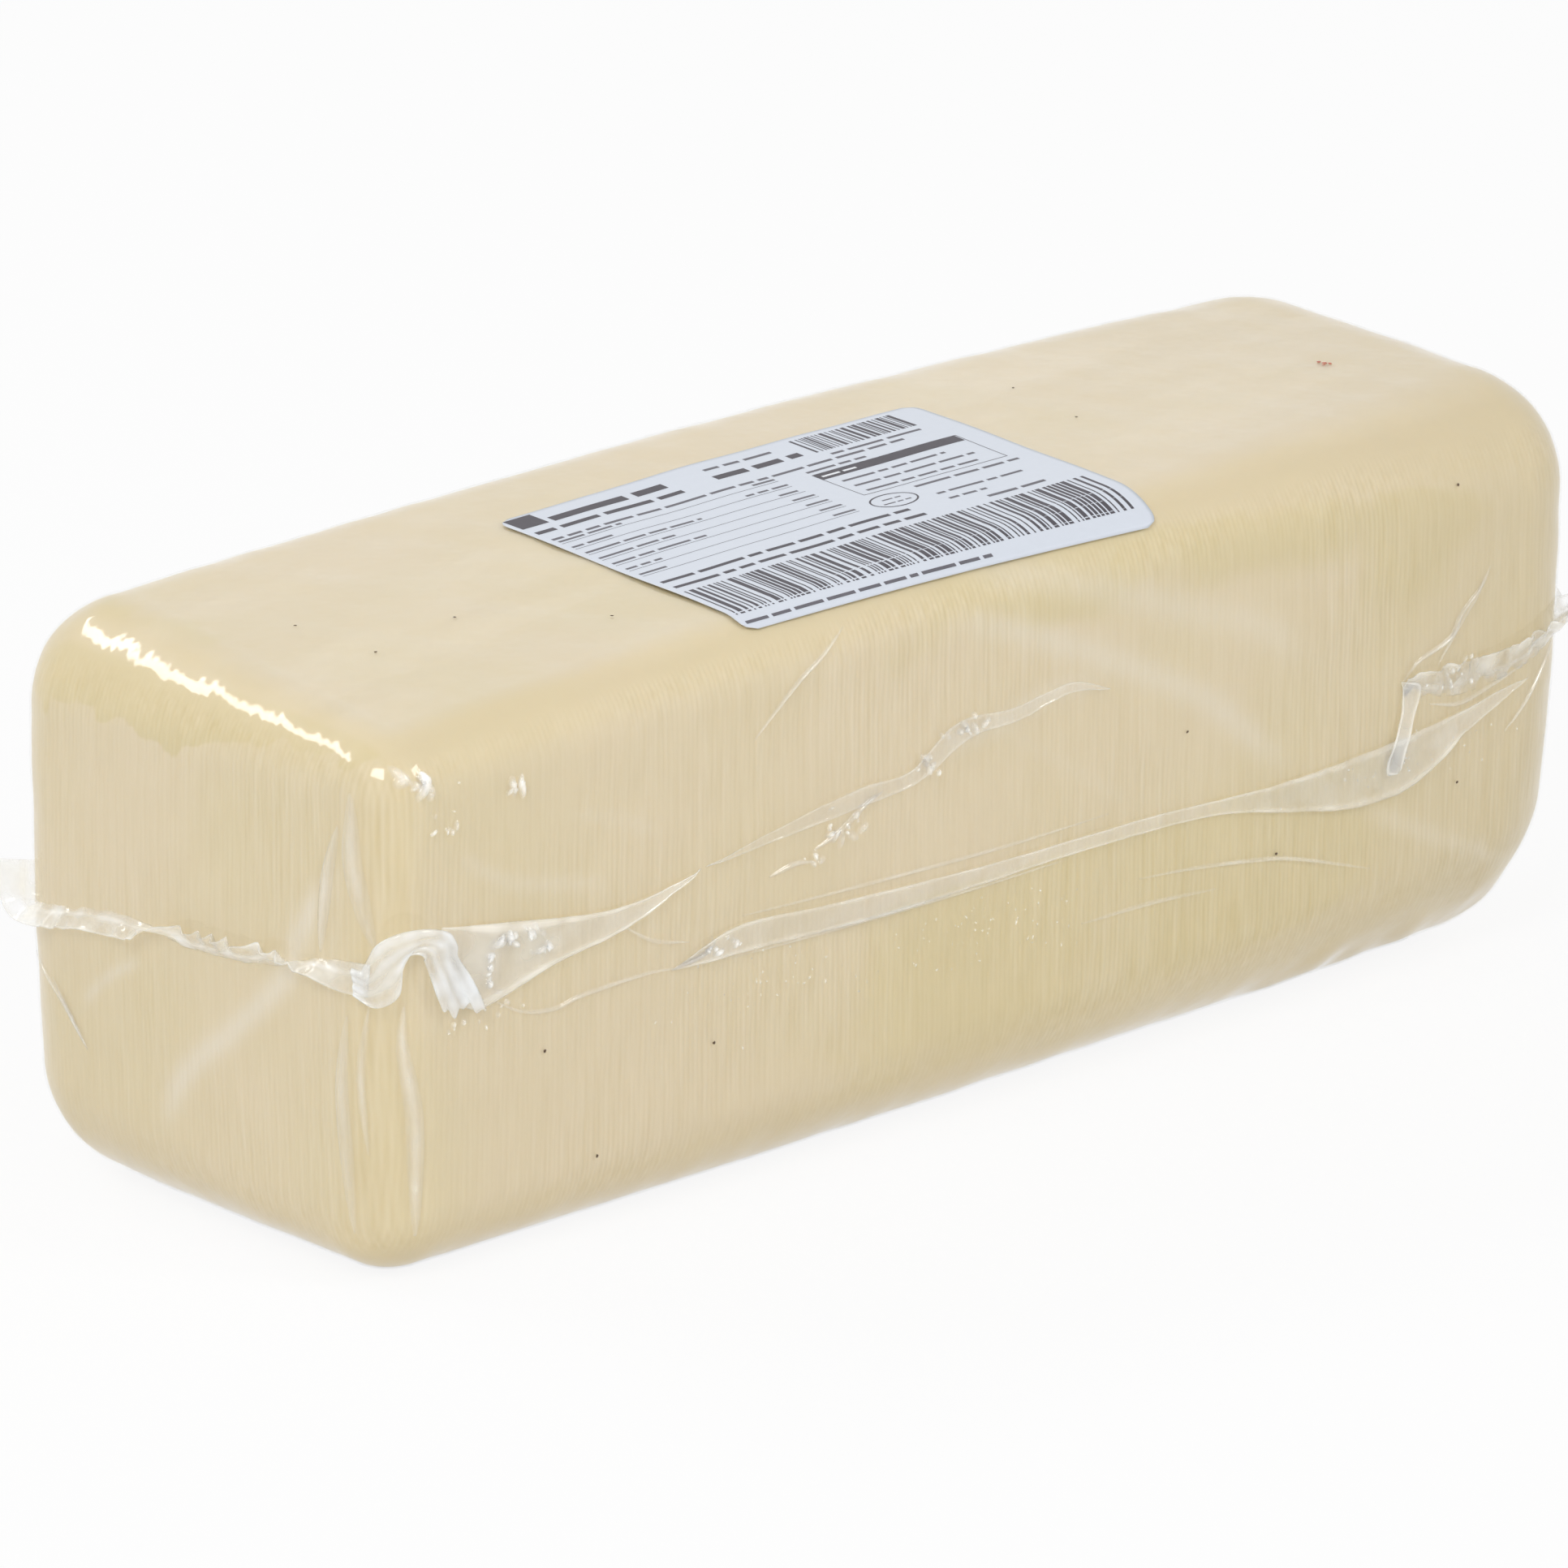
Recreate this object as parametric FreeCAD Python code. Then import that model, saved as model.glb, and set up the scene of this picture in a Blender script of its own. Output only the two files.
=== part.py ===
import FreeCAD, Part
import math
import os
from FreeCAD import Vector

# A 3 kg loaf of young gouda in a tight clear shrink bag, lying on its base.
# Millimetres and degrees. +X runs along the loaf to the right, +Y to the back, +Z up.
# While it is built, the origin is under the middle of the loaf. At the end all pieces
# are moved together, so that it is under the middle of the space that they cover.

# ---- Driving dimensions -------------------------------------------------------------

LENGTH = 294.0            # between the crowns of the two end faces
WIDTH = 98.9              # between the crowns of the front and the back
HEIGHT = 104.2            # from the base to the top, over the middle

# Each face swells a little: this much at its middle against the line of its corners.
CROWN = {"top": 3.0, "front": 2.3, "back": 1.1, "left": 1.4, "right": 1.4}

# The block settled unevenly in its mould, so its faces lean by a degree or two.
TOP_RISE_RIGHT = 1.6      # the top rises towards the right end
TOP_RISE_BACK = 3.6       # and towards the back
FRONT_TURN = 1.55         # the front turns in towards the right end
FRONT_LEAN = 1.25         # and leans in towards its foot
BACK_TURN = -0.4
BACK_LEAN = 0.7
LEFT_TURN = 0.9
LEFT_LEAN = -0.35
RIGHT_TURN = 0.8
RIGHT_LEAN = 0.5

# Radius of each corner; an edge blends from the radius of one end to that of the other.
CORNER_RADIUS = {
    ("left", "front", "base"): 14.0,
    ("left", "front", "top"): 11.0,
    ("left", "back", "base"): 20.0,
    ("left", "back", "top"): 18.5,
    ("right", "front", "base"): 29.0,
    ("right", "front", "top"): 23.0,
    ("right", "back", "base"): 24.0,
    ("right", "back", "top"): 26.0,
}

# The bag's end seals: two welded layers of shrunk film, crumpled to a thicker strip.
SEAL_THICKNESS = 0.6
SEAL_ROOT_DEPTH = 1.5     # the strip starts this far inside the skin, and is trimmed to it
SEAL_WIDTH = 5.5          # how far the fin stands out
SEAL_RUFFLE = 0.8         # height of the ruffles at the free edge
SEAL_RUFFLE_PITCH = 6.8   # length of one ruffle along the seal
SEAL_HEIGHT_LEFT = 51.5   # height of the fin's root at the middle of the left end
SEAL_HEIGHT_RIGHT = 56.0

# The tail of the left seal curls into a crook in front of the near upright edge.
CROOK_BEARING = 230.6     # where the middle of the crook lies round the end of the loaf
CROOK_HEIGHT = 57.8
CROOK_OUTER = 6.5         # outer radius of the crook
CROOK_HOLE = 3.1          # radius of its open middle
CROOK_STANDOFF = 3.6      # how far its top stands off the skin
CROOK_TAIL = 9.0          # drop of the tail under the crook's middle
CROOK_TAIL_WIDTH = 8.0
CROOK_TAIL_SWING = 5.5    # degrees that the tail swings to the right as it drops

# Film that is folded double and lies flat against the front. Each fold is drawn by its
# upper and its lower side, as X and Z from one tip to the other.
FOLD_THICKNESS = 0.5
FOLDS = {
    "corner_flap_left": (
        [(-133.0, 62.4), (-120.0, 60.6), (-100.0, 57.6), (-88.0, 57.9), (-75.5, 60.3)],
        [(-133.0, 62.4), (-131.0, 52.0), (-126.0, 44.5), (-108.0, 51.0), (-92.0, 53.6),
         (-75.5, 60.3)],
    ),
    "pleat_upper": (
        [(-74.5, 60.4), (-58.0, 64.4), (-40.0, 67.4), (-28.0, 67.6), (-17.0, 74.0),
         (-4.0, 73.6), (10.0, 75.4), (20.0, 71.7)],
        [(-74.5, 60.4), (-58.0, 61.6), (-40.0, 63.0), (-26.0, 64.8), (-14.0, 70.0),
         (-2.0, 71.0), (10.0, 73.2), (20.0, 71.7)],
    ),
    "pleat_lower": (
        [(-82.0, 43.8), (-68.0, 49.2), (-45.0, 47.8), (-10.0, 46.8), (30.0, 46.8),
         (62.0, 45.6), (88.0, 46.8), (106.0, 48.8), (118.0, 51.0), (126.0, 51.4)],
        [(-82.0, 43.8), (-60.0, 43.8), (-30.0, 42.8), (10.0, 44.2), (45.0, 43.8),
         (66.0, 39.6), (82.0, 36.8), (97.0, 37.6), (110.0, 45.6), (126.0, 51.4)],
    ),
    "corner_flap_right": (
        [(92.6, 57.6), (98.6, 56.8), (97.0, 51.6), (93.6, 47.4)],
        [(92.6, 57.6), (92.8, 53.2), (91.6, 49.6), (93.6, 47.4)],
    ),
}

# The paper label on the top, bent over the front edge.
LABEL_LENGTH = 95.0
LABEL_DEPTH = 62.4        # from the back edge to the front edge, along the skin
LABEL_THICKNESS = 0.25
LABEL_CORNER = 4.0
LABEL_LEFT = -62.0        # X of its left edge
LABEL_BACK = 15.2         # Y of its back edge
LABEL_TURN = -0.6         # degrees that it lies out of line with the loaf

SAMPLES_PER_STEP = 6      # rows of the fitted surface between two stations of a strip
ROWS_ACROSS = 5
PROFILE_STEP = 0.25       # spacing of the points that measure along the skin

UP = Vector(0, 0, 1)


def slope(angle):
    return math.tan(math.radians(angle))


# ---- The loaf ------------------------------------------------------------------------

def plane_through(normal, distance):
    length = normal.Length
    return normal * (1 / length), distance / length


def face_planes():
    """Unit normal and distance from the origin of each leaning face."""
    half_length = LENGTH / 2
    half_width = WIDTH / 2
    middle = HEIGHT / 2
    left_lean = slope(LEFT_LEAN)
    right_lean = -slope(RIGHT_LEAN)
    front_lean = -slope(FRONT_LEAN)
    back_lean = -slope(BACK_LEAN)
    return {
        "top": plane_through(Vector(-slope(TOP_RISE_RIGHT), -slope(TOP_RISE_BACK), 1), HEIGHT),
        "front": plane_through(Vector(slope(FRONT_TURN), -1, front_lean),
                               half_width + front_lean * middle),
        "back": plane_through(Vector(-slope(BACK_TURN), 1, back_lean),
                              half_width + back_lean * middle),
        "left": plane_through(Vector(-1, slope(LEFT_TURN), left_lean),
                              half_length + left_lean * middle),
        "right": plane_through(Vector(1, -slope(RIGHT_TURN), right_lean),
                               half_length + right_lean * middle),
    }


def crowned_face(name, normal, distance):
    """A ball so large that its near side is the gently swelling face."""
    reach = WIDTH / 2 if name in ("left", "right") else LENGTH / 2
    crown = CROWN[name]
    radius = (reach ** 2 + crown ** 2) / (2 * crown)
    middle = Vector(0, 0, HEIGHT / 2)
    summit = middle + normal * (distance - normal.dot(middle))
    ball = Part.makeSphere(radius)
    # The ball's seam is turned away, so that the face stays in one piece.
    turn = FreeCAD.Rotation(Vector(1, 0, 0), normal * -1)
    ball.Placement = FreeCAD.Placement(summit - normal * radius, turn)
    return ball


def corner_name(point, centre):
    return ("right" if point.x > centre.x else "left",
            "back" if point.y > centre.y else "front",
            "top" if point.z > centre.z else "base")


def make_loaf():
    size = 4 * LENGTH
    block = Part.makeBox(size, size, size, Vector(-size / 2, -size / 2, 0))
    for name, (normal, distance) in face_planes().items():
        block = block.common(crowned_face(name, normal, distance))
    block = block.Solids[0]
    centre = block.CenterOfMass
    document = FreeCAD.newDocument("loaf")
    sharp = document.addObject("Part::Feature", "sharp")
    sharp.Shape = block
    rounded = document.addObject("Part::Fillet", "rounded")
    rounded.Base = sharp
    edges = []
    for number, edge in enumerate(block.Edges, start=1):
        first = corner_name(edge.Vertexes[0].Point, centre)
        last = corner_name(edge.Vertexes[-1].Point, centre)
        edges.append((number, CORNER_RADIUS[first], CORNER_RADIUS[last]))
    rounded.Edges = edges
    document.recompute()
    loaf = rounded.Shape.Solids[0].copy()
    FreeCAD.closeDocument("loaf")
    return loaf


# ---- Places on the skin --------------------------------------------------------------

class Skin:
    """Finds points on and off the loaf's upright faces, going round one of its ends."""

    def __init__(self, loaf, end):
        self.loaf = loaf
        side = -1 if end == "left" else 1
        self.hub = Vector(side * (LENGTH - WIDTH) / 2, 0, 0)

    def on(self, bearing, height):
        """The skin seen from the hub at a bearing: 0 is +X, 90 is +Y."""
        turn = math.radians(bearing)
        start = self.hub + UP * height
        end = start + Vector(math.cos(turn), math.sin(turn), 0) * LENGTH
        inside = Part.makeLine(start, end).common(self.loaf)
        return max((v.Point for v in inside.Vertexes), key=lambda p: p.distanceToPoint(start))

    def off(self, bearing, height, distance, rise=0.0):
        """A point that far off the skin, square to it, then that much higher."""
        step = 1.5
        along = self.on(bearing + step, height) - self.on(bearing - step, height)
        outward = Vector(along.y, -along.x, 0).normalize()
        return self.on(bearing, height) + outward * distance + UP * rise

    def degrees_per_mm(self, bearing, height):
        """How far the bearing turns for each millimetre along the skin."""
        step = 3.0
        chord = self.on(bearing + step, height) - self.on(bearing - step, height)
        return 2 * step / chord.Length


# ---- Film strips ---------------------------------------------------------------------

def clamped_knots(count):
    """Degree, knots and how often each counts, for a curve that ends on its end poles."""
    degree = min(3, count - 1)
    inner = count - degree - 1
    knots = [float(i) for i in range(inner + 2)]
    return degree, knots, [degree + 1] + [1] * inner + [degree + 1]


def smooth_curve(points):
    """A curve from the first point to the last, drawn towards every one between."""
    degree, knots, counts = clamped_knots(len(points))
    curve = Part.BSplineCurve()
    curve.buildFromPolesMultsKnots(points, counts, knots, False, degree)
    return curve


def smooth_rows(points):
    """Even steps along that curve."""
    curve = smooth_curve(points)
    count = (len(points) - 1) * SAMPLES_PER_STEP
    return [curve.value(curve.LastParameter * i / count) for i in range(count + 1)]


def surface_over(grid):
    """A smooth surface drawn towards every point of the grid, with no waves between."""
    row_degree, rows, row_counts = clamped_knots(len(grid))
    column_degree, columns, column_counts = clamped_knots(len(grid[0]))
    surface = Part.BSplineSurface()
    surface.buildFromPolesMultsKnots(grid, row_counts, column_counts, rows, columns,
                                     False, False, row_degree, column_degree)
    return surface.toShape()


def thick_sheet(grid, thickness):
    """A closed solid around a grid of points, half the thickness to each side."""
    last = len(grid) - 1
    middle = len(grid[0]) // 2
    upper = []
    lower = []
    for i, row in enumerate(grid):
        along = grid[min(i + 1, last)][middle] - grid[max(i - 1, 0)][middle]
        offset = along.cross(row[-1] - row[0]).normalize() * (thickness / 2)
        upper.append([point + offset for point in row])
        lower.append([point - offset for point in row])
    faces = [surface_over(upper), surface_over(lower)]
    for row in (0, -1):
        faces.append(surface_over([upper[row], lower[row]]))
    for column in (0, -1):
        faces.append(surface_over([[row[column] for row in upper],
                                   [row[column] for row in lower]]))
    shell = Part.makeShell(faces)
    shell.sewShape()
    solid = Part.makeSolid(shell)
    if solid.Volume < 0:
        solid.reverse()
    return solid


def film_strip(roots, rims, ruffle):
    """A strip between two edge curves, ruffled more and more towards its rim.

    ruffle(share) gives the height of the ruffles at that share of the strip's length.
    """
    root = smooth_rows(roots)
    rim = smooth_rows(rims)
    grid = []
    run = 0.0
    last = len(root) - 1
    for i in range(len(root)):
        if i > 0:
            run += root[i].distanceToPoint(root[i - 1])
        ahead = min(i + 1, last)
        behind = max(i - 1, 0)
        along = root[ahead] + rim[ahead] - root[behind] - rim[behind]
        across = rim[i] - root[i]
        lift = along.cross(across).normalize()
        wave = math.sin(2 * math.pi * run / SEAL_RUFFLE_PITCH) * ruffle(i / last)
        row = []
        for j in range(ROWS_ACROSS):
            share = j / (ROWS_ACROSS - 1)
            row.append(root[i] + across * share + lift * (wave * share ** 2))
        grid.append(row)
    return thick_sheet(grid, SEAL_THICKNESS)


def fin_station(skin, bearing, height, lift, width):
    """Root and rim of a seal that stands off the skin, lifted by an angle."""
    root = skin.off(bearing, height, -SEAL_ROOT_DEPTH)
    turn = math.radians(lift)
    rim = skin.off(bearing, height, width * math.cos(turn), width * math.sin(turn))
    return root, rim


def trim_to_skin(strip, loaf):
    """What is left of a strip outside the loaf, without the offcuts."""
    rest = strip.cut(loaf)
    return max(rest.Solids, key=lambda solid: solid.Volume)


def make_left_seal(loaf):
    """From the ear at the back, across the end face, to the curled tail at the front."""
    skin = Skin(loaf, "left")
    level = SEAL_HEIGHT_LEFT
    wide = SEAL_WIDTH
    stations = [
        fin_station(skin, 137.0, level + 3.0, 5, 0.95 * wide),
        fin_station(skin, 137.5, level - 1.0, 10, 1.10 * wide),
        fin_station(skin, 139.0, level - 3.8, -10, 1.00 * wide),
        fin_station(skin, 145.5, level - 2.6, -25, 0.95 * wide),
        fin_station(skin, 153.0, level - 1.0, -15, 0.90 * wide),
        fin_station(skin, 161.0, level, -30, 0.95 * wide),
        fin_station(skin, 170.0, level + 0.2, -5, 0.90 * wide),
        fin_station(skin, 180.0, level + 0.3, 30, 0.95 * wide),
        fin_station(skin, 191.0, level + 0.6, 38, 0.90 * wide),
        fin_station(skin, 201.0, level + 1.2, 30, 0.90 * wide),
        fin_station(skin, 210.0, level + 2.8, 5, 0.85 * wide),
        fin_station(skin, 217.0, level + 4.6, -20, 0.85 * wide),
        fin_station(skin, 221.5, level + 4.8, -35, 0.90 * wide),
    ]
    roots = [root for root, rim in stations]
    rims = [rim for root, rim in stations]
    # The strip leaves the skin, hangs down in a lobe and turns upwards.
    roots.append(skin.off(224.2, level + 4.8, 1.2))
    rims.append(skin.off(225.6, level - 0.8, 3.2))
    roots.append(skin.off(224.6, level + 5.6, 2.2))
    rims.append(skin.off(228.8, level + 0.8, 3.0))
    # Then it goes over the crook, clockwise, with its rim round the open middle.
    degrees_per_mm = skin.degrees_per_mm(CROOK_BEARING, CROOK_HEIGHT)
    for angle in (178, 142, 106, 70, 34, 0):
        turn = math.radians(angle)
        standoff = CROOK_STANDOFF * (0.75 + 0.25 * math.sin(turn))
        roots.append(skin.off(CROOK_BEARING + degrees_per_mm * CROOK_OUTER * math.cos(turn),
                              CROOK_HEIGHT + CROOK_OUTER * math.sin(turn), standoff))
        rims.append(skin.off(CROOK_BEARING + degrees_per_mm * CROOK_HOLE * math.cos(turn),
                             CROOK_HEIGHT + CROOK_HOLE * math.sin(turn), 0.55 * standoff))
    # The tail drops across the front, fanning out to its cut end.
    for share in (0.5, 1.0):
        outer = CROOK_BEARING + degrees_per_mm * CROOK_OUTER + CROOK_TAIL_SWING * share
        inner = outer - degrees_per_mm * CROOK_TAIL_WIDTH * (0.55 + 0.35 * share)
        height = CROOK_HEIGHT - CROOK_TAIL * share
        roots.append(skin.off(outer, height, 0.7 * CROOK_STANDOFF))
        rims.append(skin.off(inner, height - 1.0, 0.45 * CROOK_STANDOFF))
    return trim_to_skin(film_strip(roots, rims, left_ruffle), loaf)


def left_ruffle(share):
    """Flat at the ear, ruffled across the end face, and smooth again round the crook."""
    if share < 0.2 or share > 0.62:
        return 0.0
    return SEAL_RUFFLE * math.sin(math.pi * (share - 0.2) / 0.42)


def make_right_seal(loaf):
    """From an ear at the back, across the end face and round onto the front."""
    skin = Skin(loaf, "right")
    level = SEAL_HEIGHT_RIGHT
    wide = SEAL_WIDTH
    stations = [
        fin_station(skin, 47.0, level + 1.0, 15, 0.95 * wide),
        fin_station(skin, 43.0, level - 2.0, 0, 1.10 * wide),
        fin_station(skin, 35.0, level - 3.0, -25, 0.95 * wide),
        fin_station(skin, 24.0, level - 2.0, -30, 0.90 * wide),
        fin_station(skin, 12.0, level - 1.0, -10, 0.90 * wide),
        fin_station(skin, 0.0, level, 20, 0.90 * wide),
        fin_station(skin, -12.0, level + 1.0, 30, 0.90 * wide),
        fin_station(skin, -24.0, level + 2.0, 15, 0.85 * wide),
        fin_station(skin, -34.0, level + 2.5, 10, 0.85 * wide),
        fin_station(skin, -43.0, level + 2.5, 25, 0.85 * wide),
        fin_station(skin, -53.0, level + 1.0, 50, 0.90 * wide),
        fin_station(skin, -64.0, level - 3.0, 72, 1.00 * wide),
        fin_station(skin, -75.0, level - 3.5, 76, 1.05 * wide),
        fin_station(skin, -86.0, level - 1.5, 76, 1.05 * wide),
        fin_station(skin, -94.0, level - 0.5, 76, 0.60 * wide),
    ]
    roots = [root for root, rim in stations]
    rims = [rim for root, rim in stations]
    return trim_to_skin(film_strip(roots, rims, right_ruffle), loaf)


def right_ruffle(share):
    """Ruffled all along, and flat at the two ends."""
    if share < 0.12:
        return 0.0
    return SEAL_RUFFLE * math.sin(math.pi * (share - 0.12) / 0.88)


# ---- Sheets that lie on the skin -----------------------------------------------------

def raised_skin(loaf, thickness):
    """The loaf, thicker all round. What lies between the two is where sheets are cut."""
    return loaf.makeOffsetShape(thickness, 0.01)


def largest_solid(shape):
    return max(shape.Solids, key=lambda solid: solid.Volume)


def make_fold(loaf, raised, upper, lower):
    """A sheet on the front, between two lines with the same two tips."""
    sides = []
    for line in (upper, lower):
        points = [Vector(x, -WIDTH, z) for x, z in line]
        sides.append(smooth_curve(points).toShape())
    outline = Part.Face(Part.Wire(sides))
    return largest_solid(raised.common(outline.extrude(Vector(0, WIDTH, 0))).cut(loaf))


def reach_along_skin(loaf, x, back, depth):
    """Where a strip at X ends that lies over the top and the front, and its direction."""
    profile = loaf.slice(Vector(1, 0, 0), x)[0].discretize(Distance=PROFILE_STEP)
    if profile[0].distanceToPoint(profile[-1]) < PROFILE_STEP / 2:
        profile.pop()
    count = len(profile)
    on_top = [i for i in range(count) if profile[i].z > HEIGHT / 2]
    start = min(on_top, key=lambda i: abs(profile[i].y - back))
    step = 1 if profile[(start + 1) % count].y < profile[start].y else -1
    done = 0.0
    i = start
    while done < depth:
        done += profile[i].distanceToPoint(profile[(i + step) % count])
        i = (i + step) % count
    return profile[i], (profile[i] - profile[(i - 2 * step) % count]).normalize()


def rounded_slab(origin, across, along, size_across, size_along, depth, corner, side):
    """A block on a rectangle with two rounded corners, at its near or its far side."""
    out = across.cross(along).normalize()
    corners = [origin, origin + across * size_across,
               origin + across * size_across + along * size_along, origin + along * size_along]
    face = Part.Face(Part.makePolygon(corners + corners[:1]))
    face.translate(out * -depth)
    slab = face.extrude(out * 2 * depth)
    ends = corners[:2] if side == "near" else corners[2:]
    edges = []
    for edge in slab.Edges:
        middle = edge.CenterOfMass
        if edge.Length > 1.9 * depth and min(middle.distanceToPoint(p) for p in ends) < 0.1:
            edges.append(edge)
    return slab.makeFillet(corner, edges)


def make_label(loaf):
    """Cut out of a thin layer by an upright block and by one square to its front edge."""
    turn = math.radians(LABEL_TURN)
    across = Vector(math.cos(turn), math.sin(turn), 0)
    along = Vector(-math.sin(turn), math.cos(turn), 0)
    back_left = Vector(LABEL_LEFT, LABEL_BACK, HEIGHT)
    back_right = back_left + across * LABEL_LENGTH
    upright = rounded_slab(back_left - along * LABEL_DEPTH, across, along, LABEL_LENGTH,
                           LABEL_DEPTH, 0.7 * HEIGHT, LABEL_CORNER, "far")
    left, left_way = reach_along_skin(loaf, back_left.x, back_left.y, LABEL_DEPTH)
    right, right_way = reach_along_skin(loaf, back_right.x, back_right.y, LABEL_DEPTH)
    front_across = (right - left).normalize()
    way = left_way + right_way
    back_along = (way - front_across * way.dot(front_across)).normalize() * -1
    square = rounded_slab(left, front_across, back_along, (right - left).Length,
                          2 * LABEL_DEPTH, HEIGHT, LABEL_CORNER, "near")
    raised = raised_skin(loaf, LABEL_THICKNESS)
    return largest_solid(raised.common(upright).common(square).cut(loaf))


def export(pieces):
    """Move all pieces together over the origin and write each to its own file."""
    box = FreeCAD.BoundBox()
    for piece in pieces.values():
        box.add(piece.optimalBoundingBox(False))
    shift = Vector(-box.Center.x, -box.Center.y, 0)
    os.makedirs("parts", exist_ok=True)
    for name, piece in pieces.items():
        piece.translate(shift)
        piece.exportStep("parts/" + name + ".step")
        print(name, piece.isValid(), len(piece.Solids), round(piece.Volume, 1))
    print("moved by", shift, "size", box.XLength, box.YLength, box.ZLength)


loaf = make_loaf()
pieces = {
    "bagged_loaf": loaf,
    "end_seal_left": make_left_seal(loaf),
    "end_seal_right": make_right_seal(loaf),
    "label": make_label(loaf),
}
raised = raised_skin(loaf, FOLD_THICKNESS)
for name, (upper, lower) in FOLDS.items():
    fold = make_fold(loaf, raised, upper, lower)
    for seal in ("end_seal_left", "end_seal_right"):
        fold = largest_solid(fold.cut(pieces[seal]))
    pieces[name] = fold
export(pieces)
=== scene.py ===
import math

import bpy
import numpy as np
from mathutils import Matrix, Vector


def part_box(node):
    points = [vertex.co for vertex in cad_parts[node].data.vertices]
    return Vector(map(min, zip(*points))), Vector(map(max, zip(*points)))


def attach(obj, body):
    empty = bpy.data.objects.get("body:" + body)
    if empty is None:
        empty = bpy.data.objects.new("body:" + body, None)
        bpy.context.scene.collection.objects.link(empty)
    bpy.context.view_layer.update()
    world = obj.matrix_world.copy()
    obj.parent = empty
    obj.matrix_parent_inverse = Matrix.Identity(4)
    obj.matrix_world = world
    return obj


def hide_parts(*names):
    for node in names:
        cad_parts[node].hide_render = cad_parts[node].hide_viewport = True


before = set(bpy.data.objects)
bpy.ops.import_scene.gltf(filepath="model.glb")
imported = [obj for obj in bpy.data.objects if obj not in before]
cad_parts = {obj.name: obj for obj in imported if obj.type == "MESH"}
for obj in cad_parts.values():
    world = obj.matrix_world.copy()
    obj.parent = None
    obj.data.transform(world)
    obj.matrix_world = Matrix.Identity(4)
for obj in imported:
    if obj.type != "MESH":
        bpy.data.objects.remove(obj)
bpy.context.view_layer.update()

# A 3 kg loaf of young gouda in a tight clear shrink bag, with a label bent over one edge.
# Shapes are worked out in millimetres in the loaf's own frame: the origin is on the base
# under the middle of the loaf, +X runs to the right, +Y to the back and +Z up. Each mesh is
# moved into the row frame and turned into metres as it is made.

MM = 0.001


# ---- The loaf's form -----------------------------------------------------------------

LENGTH = 294.0
WIDTH = 98.9
HEIGHT = 104.2

# Each leaning face as the outward direction and the distance of its summit, and how much
# it swells at its middle.
LEANS = {
    "top": ((-0.0279, -0.0629, 1.0), HEIGHT, 3.0),
    "front": ((0.0271, -1.0, -0.0218), WIDTH / 2 - 0.0218 * HEIGHT / 2, 2.3),
    "back": ((0.0070, 1.0, -0.0122), WIDTH / 2 - 0.0122 * HEIGHT / 2, 1.1),
    "left": ((-1.0, 0.0157, -0.0061), LENGTH / 2 - 0.0061 * HEIGHT / 2, 1.4),
    "right": ((1.0, -0.0140, -0.0087), LENGTH / 2 - 0.0087 * HEIGHT / 2, 1.4),
}

# Radius of each rounded corner: [left, right][front, back][base, top].
CORNER_RADIUS = np.array([[[14.0, 11.0], [20.0, 18.5]], [[29.0, 23.0], [24.0, 26.0]]])
CORE_INSET = 30.0         # what is deeper than this is well inside every rounded edge


def swelling_ball(name):
    """Centre and radius of the large ball whose near side is one of the faces."""
    direction, distance, crown = LEANS[name]
    size = np.linalg.norm(direction)
    normal = np.array(direction) / size
    reach = WIDTH / 2 if name in ("left", "right") else LENGTH / 2
    radius = (reach ** 2 + crown ** 2) / (2 * crown)
    middle = np.array([0, 0, HEIGHT / 2])
    summit = middle + normal * (distance / size - normal @ middle)
    return summit - normal * radius, radius


BALLS = {name: swelling_ball(name) for name in LEANS}


def smoothstep(low, high, value):
    t = np.clip((value - low) / (high - low), 0, 1)
    return t * t * (3 - 2 * t)


def edge_radius(p):
    """Radius of the rounded edges near points, blended between the eight corners."""
    right = np.clip(p[..., 0] / LENGTH + 0.5, 0, 1)
    back = np.clip((p[..., 1] / WIDTH + 0.5 - 0.12) / 0.76, 0, 1)
    top = np.clip((p[..., 2] / HEIGHT - 0.12) / 0.76, 0, 1)
    # The long edge over the front stays sharp for longer than the others.
    right = right + (right ** 3 - right) * top * (1 - back)
    radius = 0.0
    for i, along_x in enumerate((1 - right, right)):
        for j, along_y in enumerate((1 - back, back)):
            for k, along_z in enumerate((1 - top, top)):
                radius = radius + CORNER_RADIUS[i, j, k] * along_x * along_y * along_z
    return radius


def outside(name, p):
    """How far points lie outside one face, and which way that is."""
    if name == "base":
        return -p[..., 2], np.broadcast_to([0, 0, -1.0], p.shape)
    centre, radius = BALLS[name]
    away = p - centre
    size = np.linalg.norm(away, axis=-1)
    return size - radius, away / size[..., None]


def skin_distance(p):
    """How far points lie outside the bag's skin. It is below 0 inside."""
    radius = edge_radius(p)
    over = []
    ways = []
    for one, other in (("left", "right"), ("front", "back"), ("top", "base")):
        first, first_way = outside(one, p)
        second, second_way = outside(other, p)
        over.append(np.maximum(first, second) + radius)
        ways.append(np.where((first > second)[..., None], first_way, second_way))
    square = 0.0
    for i in range(3):
        square = square + np.maximum(over[i], 0) ** 2
        for j in range(i):
            # The faces don't meet square, so the round between them starts later.
            lean = (ways[i] * ways[j]).sum(axis=-1)
            square = square - 2 * lean * np.maximum(over[i], 0) * np.maximum(over[j], 0)
    return np.sqrt(np.maximum(square, 0)) + np.minimum(np.max(over, axis=0), 0) - radius


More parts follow.
